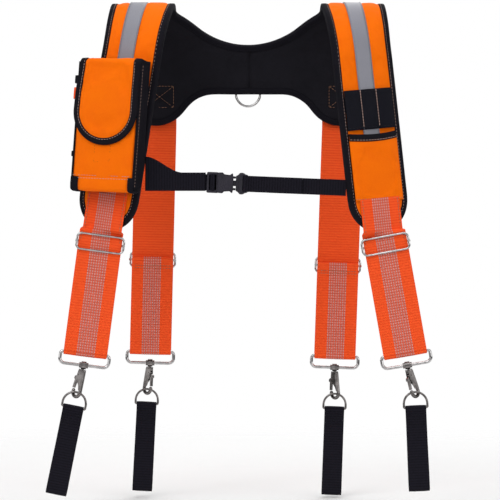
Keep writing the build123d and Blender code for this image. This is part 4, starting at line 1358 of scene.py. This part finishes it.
def flap(pouch):
    """Padded flap: an orange panel bound all round with wide black tape."""
    length = FLAP_Z - 7 * MM + 3 * math.pi * MM + (FLAP_TOP - 6.9 * MM - FLAP_LOW)
    corner = 38.5 * MM
    outline = [(4.5 * MM - FLAP_HALF, 0), (3.4 * MM - FLAP_HALF, 0.3 * length),
               (1.0 * MM - FLAP_HALF, 0.5 * length), (-FLAP_HALF, length - corner)]
    for k in range(1, 40):
        at = math.pi - math.pi * k / 40
        outline.append((FLAP_HALF * math.cos(at), length - corner + corner * math.sin(at)))
    outline += [(FLAP_HALF, length - corner), (FLAP_HALF, 0.3 * length), (FLAP_HALF - 0.5 * MM, 0)]
    loop = soften(resample(outline, 2 * MM, closed=True), 2, closed=True)
    half_t = 1.25 * MM
    lip = 7.6 * MM

    def at(x, s, height):
        point, out, _ = flap_frame(pouch, s)
        edge = (abs(x) / FLAP_HALF) ** 3
        return point + pouch.x * x + out * (height - 0.7 * MM * edge)

    step = 2.5 * MM
    columns = int(round(2 * FLAP_HALF / step))
    rows = int(round(length / step))
    place = {(i, j): (-FLAP_HALF + i * step, j * length / rows)
             for i in range(columns + 1) for j in range(rows + 1)}
    reach, cells = grid_cells(place, columns, rows, loop, 1.5 * MM)
    panel = Mesh()
    free = []

    def point(key, layer):
        x, s = place[key]
        rise = ease((reach[key] - 5 * MM) / (9 * MM))
        free.append(layer == 1 and reach[key] > 8 * MM)
        if layer:
            return at(x, s, half_t * (0.8 + 0.35 * rise) + 0.25 * MM * rise * wander((x, s), 26 * MM, 21.0))
        return at(x, s, -half_t * 0.8)

    cell_slab(panel, place, cells, point, 1, (1, 0))
    start, end = pouch.at(0, FLAP_TOP, FLAP_Z - 9 * MM), pouch.at(0, FLAP_TOP - 9 * MM, FLAP_Z)
    cover = panel.build("pouch_flap", [ORANGE, BINDING])
    recalculate(cover)
    puff(cover, free, 0.8, 1.0 * MM, 0.025)
    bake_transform(cover)
    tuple(start)
    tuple(end)
    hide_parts("pouch_flap_crown", "pouch_flap_panel")

    tape = 0.75 * MM
    profile = [(lip, half_t * 0.98 + tape * 0.5), (lip - 1.0 * MM, half_t + tape), (3 * MM, half_t + tape)]
    for k in range(1, 8):
        turn = math.pi / 2 - math.pi * k / 8
        profile.append((0.9 * MM - 1.3 * MM * math.cos(turn), (half_t + tape) * math.sin(turn)))
    profile += [(inset, -height) for inset, height in profile[2::-1]]
    profile += [(lip, -half_t * 0.7), (lip, half_t * 0.7)]
    _, inward = edge_walk(loop)
    bound = Mesh()
    rings = []
    for spot, into in zip(loop, inward):
        swell = 0.2 * MM * wander(spot, 18 * MM, 31.0)
        rings.append([at(spot[0] + into[0] * inset, max(0.2 * MM, spot[1] + into[1] * inset),
                         height + (swell if height > 0 else 0)) for inset, height in profile])
    bound.rings(rings, girth(profile), [2 * MM * k for k in range(len(rings) + 1)], closed=True)
    walk, _ = edge_walk(loop, lip - 1.7 * MM)
    line = resample(walk, 3.4 * MM, closed=True)
    for here, after in zip(line, np.roll(line, -1, axis=0)):
        if min(here[1], after[1]) < 2 * MM:
            continue
        a, b = at(*here, half_t + tape), at(*after, half_t + tape)
        out = flap_frame(pouch, (here[1] + after[1]) / 2)[1]
        bound.grain((a + b) / 2, (b - a).normalized(), out, (2.4 * MM, 0.5 * MM, 0.4 * MM), 1)
    tape_piece = bound.build("pouch_flap_binding", [BINDING, THREAD_PALE])
    recalculate(tape_piece)
    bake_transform(tape_piece)
    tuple(start)
    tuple(end)


TAB_HALF = 11.8 * MM


def closure_tab(pouch):
    """Hook-and-loop tab on the pouch's front that the flap closes over."""
    low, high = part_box("pouch_closure_patch")
    centre = (low + high) / 2 - pouch.origin
    x0, y0 = centre.dot(pouch.x), centre.dot(pouch.y) - 2 * POUCH_DOWN
    rows, columns = 16, 14

    def at(i, j):
        x = x0 - TAB_HALF + 2 * TAB_HALF * j / columns
        y = y0 - 12 * MM + 24 * MM * i / rows + 2.4 * MM * (j / columns) * (1 - i / rows)
        edge = min(i, rows - i, j, columns - j)
        z = POUCH_D + 0.9 * MM + (0.15 * MM if edge == 1 else 0) - (0.35 * MM if edge == 0 else 0)
        return (pouch.at(x, y, z + 0.1 * MM * wander((x, y), 5 * MM, 2)),
                pouch.at(x, y, POUCH_D - 0.4 * MM), (x, y))

    mesh = Mesh()
    mesh.slab(*sheet_grid(rows, columns, at))

    def place(x, y):
        return [(pouch.at(x0 + x * MM, y0 + y * MM, POUCH_D + 1.05 * MM), pouch.z)]

    stitched_box(mesh, [(-10, -10), (10, -8), (10, 10), (-10, 10)], 3, place,
                 lambda x, y: pouch.x * x + pouch.y * y, (2.1 * MM, 0.35 * MM, 0.35 * MM), 1, False)
    piece = mesh.build("pouch_closure_tab", [HOOK_LOOP, THREAD_BLACK], "root", "hook_and_loop")
    recalculate(piece)
    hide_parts("pouch_closure_patch")


def build_pouch():
    """Everything of the phone pouch."""
    pouch = Pouch()
    pouch_body(pouch)
    pouch_front(pouch)
    pouch_trim(pouch)
    pouch_loops(pouch)
    flap(pouch)
    closure_tab(pouch)


# ---- Tool loops and slip pocket -----------------------------------------------------

# Tops and ends are measured down the front pad, from where the shoulder's arch ends. They sit
# a few millimetres lower than in the CAD, as the photograph shows
LOOPS_TOP = 35.5 * MM
LOOPS_END = 82 * MM
POCKET_TOP = 88 * MM
MOUTH_CURVE = 2.5 * MM
POCKET_END = 165 * MM
TOOL_HALF = 30.5 * MM
BAND = 8.5 * MM


def pad_grid(x_of, t_of, height_of, thick_of, columns, rows):
    """Outer and inner grids of a panel on the right front pad, with its weave coordinates."""
    def at(i, j):
        u, v = j / columns, i / rows
        x, t = x_of(u), t_of(u, v)
        point, _, out, _ = yoke_frame(APEX_X + x, ARCH_END + t)
        height = height_of(u, v)
        return point + out * height, point + out * (height - thick_of(u, v)), (x, t)

    return sheet_grid(rows, columns, at)


def tool_loops():
    """Elastic band sewn down in three channels, with pale thread between them."""
    def height(u, v):
        channel = u * 3 % 1 if u < 1 else 1.0
        arch = math.sin(math.pi * channel) ** 0.55 if 0 < channel < 1 else 0.0
        lift = 1 - 0.25 * (2 * v - 1) ** 4
        return PAD_T + (1.3 + 2.9 * arch * lift) * MM

    mesh = Mesh()
    grids = pad_grid(lambda u: TOOL_HALF * (2 * u - 1), lambda u, v: LOOPS_TOP + (LOOPS_END - LOOPS_TOP) * v,
                     height, lambda u, v: 1.1 * MM, 60, 26)
    mesh.slab(*grids)
    for seam in (-1 / 3, 1 / 3):
        t = LOOPS_TOP + 2 * MM
        while t < LOOPS_END - 2 * MM:
            point, _, out, down = yoke_frame(APEX_X + seam * TOOL_HALF, ARCH_END + t)
            mesh.grain(point + out * (PAD_T + 1.6 * MM), down, out, (2.6 * MM, 0.9 * MM, 1.0 * MM), 1)
            t += 3.3 * MM
    for t in (LOOPS_TOP + 2.6 * MM, LOOPS_END - 2.6 * MM):
        for k in range(15):
            u = (k + 0.5) / 15
            point, wide, out, _ = yoke_frame(APEX_X + TOOL_HALF * (2 * u - 1), ARCH_END + t)
            lift = height(u, (t - LOOPS_TOP) / (LOOPS_END - LOOPS_TOP)) + 0.1 * MM
            mesh.grain(point + out * lift, wide, out, (2.4 * MM, 0.5 * MM, 0.4 * MM), 2)
    piece = mesh.build("tool_loop_elastic", [ELASTIC, THREAD_PALE, THREAD_BLACK], "root", "black_elastic")
    recalculate(piece)
    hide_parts("tool_loops")


def slip_pocket():
    """Orange pocket panel whose bound mouth gapes a little below the tool loops."""
    def mouth(u):
        return POCKET_TOP - MOUTH_CURVE * (2 * u - 1) ** 2

    def height(u, v):
        side = 1 - abs(2 * u - 1) ** 3
        gape = 4.4 * MM * (1 - v) ** 2 + 2.6 * MM * math.sin(math.pi * min(1, v * 1.02)) ** 0.8
        ripple = 0.35 * MM * wander((u * 0.06, v * 0.075), 17 * MM, 41.0) * side
        return PAD_T + 1.5 * MM + gape * side + ripple

    def bound(u, v):
        return height(u, v) + 0.8 * MM

    mesh = Mesh()
    panel = pad_grid(lambda u: TOOL_HALF * (2 * u - 1),
                     lambda u, v: (mouth(u) + 2 * MM
                                   + (POCKET_END + 1.5 * MM * (2 * u - 1) - mouth(u) - 2 * MM) * v),
                     height, lambda u, v: 1.0 * MM, 30, 36)
    mesh.slab(*panel)
    free = [6 < i < 34 and 2 < j < 28 for i in range(37) for j in range(31)]
    piece = mesh.build("slip_pocket_panel", [ORANGE])
    recalculate(piece)
    puff(piece, free + free, 0.25, 1.2 * MM, 0.03)
    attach(piece, "root")
    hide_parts("slip_pocket")

    band = Mesh()
    share = BAND / (POCKET_END - POCKET_TOP)
    grids = pad_grid(lambda u: TOOL_HALF * (2 * u - 1), lambda u, v: mouth(u) + BAND * v,
                     lambda u, v: bound(u, v * share) - (0.45 * MM if v in (0, 1) else 0),
                     lambda u, v: 2.6 * MM - (0.9 * MM if v in (0, 1) else 0), 30, 6)
    band.slab(*grids)
    for k in range(17):
        u = (k + 0.5) / 17
        point, wide, out, down = yoke_frame(APEX_X + TOOL_HALF * (2 * u - 1),
                                            ARCH_END + mouth(u) + BAND - 1.8 * MM)
        slope = 2 * MOUTH_CURVE * (2 * u - 1) / TOOL_HALF
        band.grain(point + out * (bound(u, 0.9 * share) + 0.15 * MM), (wide - down * slope).normalized(), out,
                   (2.5 * MM, 0.5 * MM, 0.4 * MM), 1)
    recalculate(band.build("slip_pocket_binding", [BINDING, THREAD_PALE], "root", "black_binding"))
    hem = Mesh()
    for k in range(17):
        u = (k + 0.5) / 17
        t = POCKET_END + 1.5 * MM * (2 * u - 1) - 2.2 * MM
        point, wide, out, _ = yoke_frame(APEX_X + TOOL_HALF * (2 * u - 1), ARCH_END + t)
        hem.grain(point + out * (height(u, 0.975) + 0.2 * MM), wide, out, STITCH)
    hem.build("slip_pocket_stitching", [THREAD_ORANGE], "root", "cover_fabric")


# ---- Chest strap and buckle ---------------------------------------------------------

CHEST_W = 18.6 * MM
CHEST_T = 1.5 * MM


class Chest:
    """Frame of the chest strap from the buckle's slide: x along it, y up, z to the viewer."""

    def __init__(self):
        self.x = Vector(JOINTS["buckle_release"]["axis"])
        upper = Vector(JOINTS["buckle_squeeze_upper"]["pos_m"])
        lower = Vector(JOINTS["buckle_squeeze_lower"]["pos_m"])
        self.z = -Y_DIR
        self.y = self.z.cross(self.x)
        self.origin = (upper + lower) / 2 - self.x * (6 * MM)

    def at(self, u, v, depth=0.0):
        """Point in the row frame of a place along, up and in front of the strap."""
        return self.origin + self.x * u + self.y * v + self.z * depth


def chest_run(chest, name, route, body, replaced, width=CHEST_W):
    """Chest webbing along a route of (along, depth) places."""
    line = resample(route, 0.8 * MM)
    line = soften(line, 2)
    points = [chest.at(u, 0, d) for u, d in line]
    normals = []
    for k in range(len(line)):
        ahead = line[min(k + 1, len(line) - 1)] - line[max(k - 1, 0)]
        normals.append((chest.z * ahead[0] - chest.x * ahead[1]).normalized())
    stations = stations_along(points, [chest.y] * len(points), normals, step=0.55 * MM)
    mesh = Mesh()
    webbing(mesh, stations, width, CHEST_T - 0.1 * MM, pitch=1.9 * MM, rib=0.14 * MM)
    piece = mesh.build(name, [WEB_BLACK], body, "black_webbing")
    recalculate(piece)
    if replaced:
        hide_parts(replaced)
    return piece


def chest_gusset():
    """Webbing fanned out into a wedge where it is sewn to the left pad."""
    low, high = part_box("chest_strap_left")
    y = (low.y + high.y) / 2
    columns, rows = 46, 16

    def wedge_top(share):
        narrow = ease(share / 0.62)
        return high.z + 1 * MM - (high.z - (low.z + 20.2 * MM)) * narrow

    def at(i, j):
        share = j / columns
        x = low.x - 3 * MM + (high.x - low.x + 3 * MM) * share
        z = low.z + (wedge_top(share) - low.z) * i / rows
        ridge = 0.12 * MM * math.cos(2 * math.pi * (x / (1.9 * MM)))
        edge = 0.35 * MM if i in (0, rows) else 0
        sway = 0.5 * MM * wander((x, z), 22 * MM, 51.0)
        return (Vector((x, y - 0.8 * MM - ridge + edge + sway, z)),
                Vector((x, y + 0.8 * MM + ridge - edge + sway, z)), (z, x))

    mesh = Mesh()
    mesh.slab(*sheet_grid(rows, columns, at))
    for k in range(20):
        share = (k + 0.5) / 20
        x = low.x + (high.x - low.x) * share
        top = wedge_top((x - low.x + 3 * MM) / (high.x - low.x + 3 * MM))
        for z in (low.z + 1.8 * MM, top - 2.0 * MM):
            spot = Vector((x, y - 1.0 * MM + 0.5 * MM * wander((x, z), 22 * MM, 51.0), z))
            mesh.grain(spot, X_DIR, -Y_DIR, (2.4 * MM, 0.45 * MM, 0.4 * MM), 1)
    piece = mesh.build("chest_strap_wedge", [WEB_BLACK, THREAD_BLACK], "root", "black_webbing")
    recalculate(piece)
    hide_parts("chest_strap_left")


def plate(outline, depth, thick, bevel, holes=()):
    """Moulded plate: a flat outline in (u, v) with holes, given a thickness and rounded edges."""
    curve = bpy.data.curves.new("plate", "CURVE")
    curve.dimensions = "2D"
    curve.fill_mode = "BOTH"
    curve.extrude = thick / 2 - bevel
    curve.bevel_depth = bevel
    curve.bevel_resolution = 2
    curve.offset = -bevel
    for loop in (outline, *holes):
        spline = curve.splines.new("POLY")
        spline.points.add(len(loop) - 1)
        for point, (u, v) in zip(spline.points, loop):
            point.co = (u, v, 0, 1)
        spline.use_cyclic_u = True
    holder = bpy.data.objects.new("plate", curve)
    bpy.context.scene.collection.objects.link(holder)
    bpy.context.view_layer.update()
    mesh = bpy.data.meshes.new_from_object(holder.evaluated_get(bpy.context.evaluated_depsgraph_get()))
    mesh.transform(Matrix.Translation((0, 0, depth + thick / 2)))
    bpy.data.objects.remove(holder)
    bpy.data.curves.remove(curve)
    return mesh


def moulding(chest, name, plates, body, replaced):
    """One moulded piece of the buckle from its plates."""
    turn = Matrix((chest.x, chest.y, chest.z)).transposed().to_4x4()
    place = Matrix.Translation(chest.origin) @ turn
    mesh = Mesh()
    for part in plates:
        first = len(mesh.points)
        mesh.points.extend(place @ vertex.co for vertex in part.vertices)
        for polygon in part.polygons:
            mesh.face(tuple(first + k for k in polygon.vertices))
        bpy.data.meshes.remove(part)
    piece = mesh.build(name, [BUCKLE])
    welded = piece.modifiers.new("weld", "WELD")
    welded.merge_threshold = 0.00001
    smooth_by_angle(piece, 35)
    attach(piece, body)
    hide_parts(*replaced)
    return piece


def rounded(points, radius, steps=4):
    """Closed outline with each corner rounded."""
    result = []
    count = len(points)
    for k in range(count):
        before, here, after = (Vector((*points[(k + d) % count], 0)) for d in (-1, 0, 1))
        reach = min(radius, (before - here).length / 2.1, (after - here).length / 2.1)
        a = here + (before - here).normalized() * reach
        b = here + (after - here).normalized() * reach
        for m in range(steps + 1):
            t = m / steps
            spot = a * (1 - t) ** 2 + here * (2 * t * (1 - t)) + b * t ** 2
            result.append((spot.x, spot.y))
    return result


def mm_points(points):
    """Points given in millimetres, in metres."""
    return [(u * MM, v * MM) for u, v in points]


def box_points(u0, u1, v0, v1):
    """Corners of a rectangle in millimetres."""
    return mm_points([(u0, v0), (u1, v0), (u1, v1), (u0, v1)])


def buckle(chest):
    """Side-release buckle: socket with its webbing bars, plug, and the plug's two arms."""
    ladder = plate(rounded(box_points(-27.6, -13.6, -12, 12), 2 * MM), -2.5 * MM, 5 * MM, 0.7 * MM,
                   [rounded(box_points(c - 1.2, c + 1.2, -8.9, 8.9), 0.8 * MM) for c in (-23.6, -17.7)])
    shell_points = mm_points([(-14.4, 11.7), (-9, 12.0), (-7.6, 9.9), (-0.6, 9.3), (0.6, 10.9), (2.6, 10.2),
                              (3.2, 6.5), (3.2, -6.5), (2.6, -10.2), (0.6, -10.9), (-0.6, -9.3), (-7.6, -9.9),
                              (-9, -12.0), (-14.4, -11.7)])
    front = plate(rounded(shell_points, 1.2 * MM), 2.65 * MM, 1.95 * MM, 0.6 * MM)
    rear = plate(rounded(shell_points, 1.2 * MM), -4.6 * MM, 1.95 * MM, 0.6 * MM)
    bridge = plate(rounded(box_points(-15.2, -13.3, -11.6, 11.6), 0.6 * MM), -4.4 * MM, 8.8 * MM, 0.5 * MM)
    walls = [plate(rounded(box_points(u0, u1, v - 0.9, v + 0.9), 0.5 * MM), -4.0 * MM, 8.0 * MM, 0.3 * MM)
             for v in (-10.2, 10.2) for u0, u1 in ((-13.9, -9.0), (0.9, 2.5))]
    ribs = [plate(rounded(box_points(u - 0.35, u + 0.35, -6.5, 6.5), 0.3 * MM), 4.3 * MM, 0.5 * MM, 0.15 * MM)
            for u in (-10.5, -8.5, -6.5)]
    moulding(chest, "buckle_socket_moulding", [ladder, front, rear, bridge, *walls, *ribs], "root",
             ["buckle_socket"])
    shoulder = [(6.0, 8.8), (8.4, 9.6), (10.5, 12.4), (14.5, 12.5), (17, 10.6), (20, 10.2)]
    knob_points = mm_points(shoulder + [(x, -z) for x, z in shoulder[::-1]])
    slots = [rounded(box_points(14.0, 16.0, -8.7, 8.7), 0.6 * MM)]
    knob = plate(rounded(knob_points, 1.5 * MM), -3.4 * MM, 6.8 * MM, 0.9 * MM, slots)
    tongue = plate(rounded(box_points(-10.4, 8, -1.9, 1.9), 1.2 * MM), -1.5 * MM, 3.0 * MM, 0.5 * MM)
    neck = plate(rounded(box_points(2.6, 8, -3.2, 3.2), 0.5 * MM), -2.4 * MM, 4.8 * MM, 0.5 * MM)
    ridge = plate(rounded(box_points(8.6, 9.6, -8, 8), 0.4 * MM), 3.2 * MM, 0.7 * MM, 0.25 * MM)
    moulding(chest, "buckle_plug_moulding", [knob, tongue, neck, ridge], "buckle_plug", ["buckle_plug"])
    for sign, word in ((1, "upper"), (-1, "lower")):
        arm_points = mm_points([(x, sign * z) for x, z in (
            (5.9, 5.4), (5.9, 8.0), (0.5, 8.1), (-2.0, 8.4),
            (-4.0, 9.0), (-8.4, 8.9), (-11.4, 7.4), (-11.6, 5.6))])
        if sign < 0:
            arm_points.reverse()
        arm = plate(rounded(arm_points, 0.8 * MM), -1.8 * MM, 3.6 * MM, 0.5 * MM)
        moulding(chest, f"buckle_arm_moulding_{word}", [arm], f"buckle_arm_{word}", [f"buckle_arm_{word}"])


def build_chest():
    """Chest strap, its webbing through both halves of the buckle, and the buckle."""
    chest = Chest()
    chest_gusset()
    _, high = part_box("chest_strap_left")
    start = (high.x - 6 * MM - chest.origin.x) / chest.x.x
    chest_run(chest, "chest_strap_ladder", [
        (start, -0.1 * MM), (-30 * MM, -0.2 * MM), (-27 * MM, -3.4 * MM), (-24.6 * MM, -3.3 * MM),
        (-22.6 * MM, 3.3 * MM), (-19 * MM, 3.4 * MM), (-17.4 * MM, -3.3 * MM), (-14.6 * MM, -5.2 * MM)],
        "root", None)
    _, high_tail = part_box("chest_strap_tail")
    low_fixed, high_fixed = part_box("chest_strap_right")
    tail_end = (high_tail.x - chest.origin.x) / chest.x.x
    fixed = [(p.x - chest.origin.x) / chest.x.x for p in (low_fixed, high_fixed)]
    chest_run(chest, "chest_strap_tail_end", [
        (21.2 * MM, -0.6 * MM), (17.6 * MM, -3.2 * MM), (15.4 * MM, -3.0 * MM), (14.2 * MM, 3.2 * MM),
        (16.8 * MM, 4.0 * MM), (20 * MM, 2.6 * MM), (25 * MM, 0.3 * MM), (tail_end, 0.3 * MM)],
        "buckle_plug", "chest_strap_tail")
    chest_run(chest, "chest_strap_fixed", [(fixed[0], -2.0 * MM), (fixed[1] + 4 * MM, -1.9 * MM)], "root",
              "chest_strap_right")
    buckle(chest)


def back_tab():
    """Webbing tab that holds the back ring's bar."""
    _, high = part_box("back_ring_tab")
    joint = Vector(JOINTS["back_ring_swing"]["pos_m"])
    radius = BACK_WIRE + 0.35 * MM + 0.75 * MM
    points, normals = [], []
    for k in range(9):
        z = high.z + (joint.z - high.z) * k / 8
        points.append(Vector((0, joint.y - radius, z)))
        normals.append(-Y_DIR)
    for k in range(1, 17):
        at = math.pi * k / 16
        points.append(joint + Vector((0, -radius * math.cos(at), -radius * math.sin(at))))
        normals.append(Vector((0, -math.cos(at), -math.sin(at))))
    for k in range(1, 8):
        lean = ease(k / 7) * (radius - 1.2 * MM)
        points.append(Vector((0, joint.y + radius - lean, joint.z + 2.2 * MM * k)))
        normals.append(Y_DIR)
    stations = stations_along(points, [X_DIR] * len(points), normals, step=0.6 * MM)
    mesh = Mesh()
    webbing(mesh, stations, 19.4 * MM, 1.3 * MM, pitch=2.0 * MM, rib=0.15 * MM)
    for z in (joint.z + 8 * MM, joint.z + 12 * MM):
        for k in range(5):
            spot = Vector((-6.4 * MM + 3.2 * MM * k, high.y + 0.4 * MM, z))
            mesh.grain(spot, X_DIR, Y_DIR, (2.3 * MM, 0.5 * MM, 0.5 * MM), 1)
    piece = mesh.build("back_ring_webbing", [WEB_BLACK, THREAD_BLACK], "root", "black_webbing")
    recalculate(piece)
    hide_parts("back_ring_tab")


# How far the left box is moved towards the spine from the leg's hinge
BOX_IN = 5 * MM


def box_stitches():
    """Crossed squares of thread through the back panel where each back leg is sewn on."""
    for side, word in ((-1, "left"), (1, "right")):
        mesh = Mesh()
        hinge = Vector(JOINTS[f"leg_swing_back_{word}"]["pos_m"]) + X_DIR * (BOX_IN if side < 0 else 0)
        half, top, low = 17 * MM, -20 * MM, -46 * MM

        def place(x, z):
            return [(Vector((hinge.x + x, y, z)), out)
                    for y, out in ((0.15 * MM, -Y_DIR), (PAD_T + 1.5 * MM, Y_DIR))]

        stitched_box(mesh, [(-half, top), (half, top), (half, low), (-half, low)], 3.6 * MM, place,
                     lambda x, z: Vector((x, 0, z)), (2.5 * MM, 0.4 * MM, 0.6 * MM))
        mesh.build(f"box_stitch_{word}", [THREAD_ORANGE], "root", "black_mesh")


# ---- Camera, light and floor --------------------------------------------------------

CAMERA = Vector((0.0024, -2.610, -0.220))
CAMERA_LENS = 153.9


def build_stage():
    """Camera at the usual product view, soft light from above and both sides, pale floor."""
    camera = bpy.data.objects.new("camera", bpy.data.cameras.new("camera"))
    camera.data.lens = CAMERA_LENS
    camera.data.clip_end = 50
    camera.location = CAMERA
    camera.rotation_euler = (math.radians(90), 0, 0)
    bpy.context.scene.collection.objects.link(camera)
    bpy.context.scene.camera = camera
    aim = Vector((0, -0.05, -0.2))
    for name, place, size, power in (("key", (-0.9, -1.6, 1.1), 1.1, 13), ("fill", (1.3, -1.5, 0.3), 1.2, 5),
                                     ("rim", (0.4, 1.5, 1.0), 1.2, 9), ("top", (0, -0.1, 1.6), 1.4, 6)):
        data = bpy.data.lights.new(name, "AREA")
        data.size = size
        data.energy = power
        light = bpy.data.objects.new(name, data)
        light.location = place
        light.rotation_euler = (aim - Vector(place)).to_track_quat("-Z", "Y").to_euler()
        bpy.context.scene.collection.objects.link(light)
    world = bpy.data.worlds.new("studio")
    world.use_nodes = True
    tree = world.node_tree
    lit = tree.nodes["Background"]
    lit.inputs["Strength"].default_value = 0.95
    place = tree.nodes.new("ShaderNodeTexCoord")
    parts = tree.nodes.new("ShaderNodeSeparateXYZ")
    height = tree.nodes.new("ShaderNodeMapRange")
    height.inputs["From Min"].default_value = -1.0
    bands = tree.nodes.new("ShaderNodeValToRGB")
    stops = bands.color_ramp.elements
    stops[0].position, stops[0].color = 0.0, (0.95, 0.95, 0.95, 1)
    stops[1].position, stops[1].color = 1.0, (1.0, 1.0, 1.0, 1)
    for level, grey in ((0.28, 0.95), (0.38, 0.08), (0.46, 0.08), (0.52, 1.25), (0.60, 1.25), (0.68, 0.45)):
        stops.new(level).color = (grey, grey, grey, 1)
    tree.links.new(place.outputs["Generated"], parts.inputs[0])
    tree.links.new(parts.outputs["Z"], height.inputs["Value"])
    tree.links.new(height.outputs[0], bands.inputs["Fac"])
    tree.links.new(bands.outputs["Color"], lit.inputs["Color"])
    seen = tree.nodes.new("ShaderNodeBackground")
    seen.inputs["Color"].default_value = (1.0, 1.0, 1.0, 1)
    rays = tree.nodes.new("ShaderNodeLightPath")
    either = tree.nodes.new("ShaderNodeMixShader")
    tree.links.new(rays.outputs["Is Camera Ray"], either.inputs[0])
    tree.links.new(lit.outputs[0], either.inputs[1])
    tree.links.new(seen.outputs[0], either.inputs[2])
    tree.links.new(either.outputs[0], tree.nodes["World Output"].inputs["Surface"])
    bpy.context.scene.world = world
    bpy.context.scene.view_settings.view_transform = "Standard"
    shade = Shader("pale_floor", roughness=0.9, specular=0.1)
    shade.bsdf.inputs["Base Color"].default_value = (0.85, 0.85, 0.85, 1)
    place = shade.node("ShaderNodeTexCoord").outputs["Object"]
    far = shade.node("ShaderNodeVectorMath", {0: place}, operation="LENGTH").outputs["Value"]
    fade = shade.node("ShaderNodeMapRange", {"Value": far, "From Min": 0.35, "From Max": 1.1,
                                             "To Min": 1.0, "To Max": 0.0}).outputs[0]
    shade.link(fade, "Alpha")
    floor_z = CAD_BOX[0][2] - 2 * MM
    floor = Mesh()
    sides = 64
    for k in range(sides):
        at = 2 * math.pi * k / sides
        floor.points.append(Vector((1.2 * math.cos(at), 1.2 * math.sin(at), 0)))
    floor.face(tuple(range(sides)))
    ground = floor.build("floor", [shade.material])
    ground.location = (0, 0, floor_z)


build_stage()
build_yoke()
build_pouch()
tool_loops()
slip_pocket()
build_chest()
back_tab()
box_stitches()
build_legs()
build_metal()
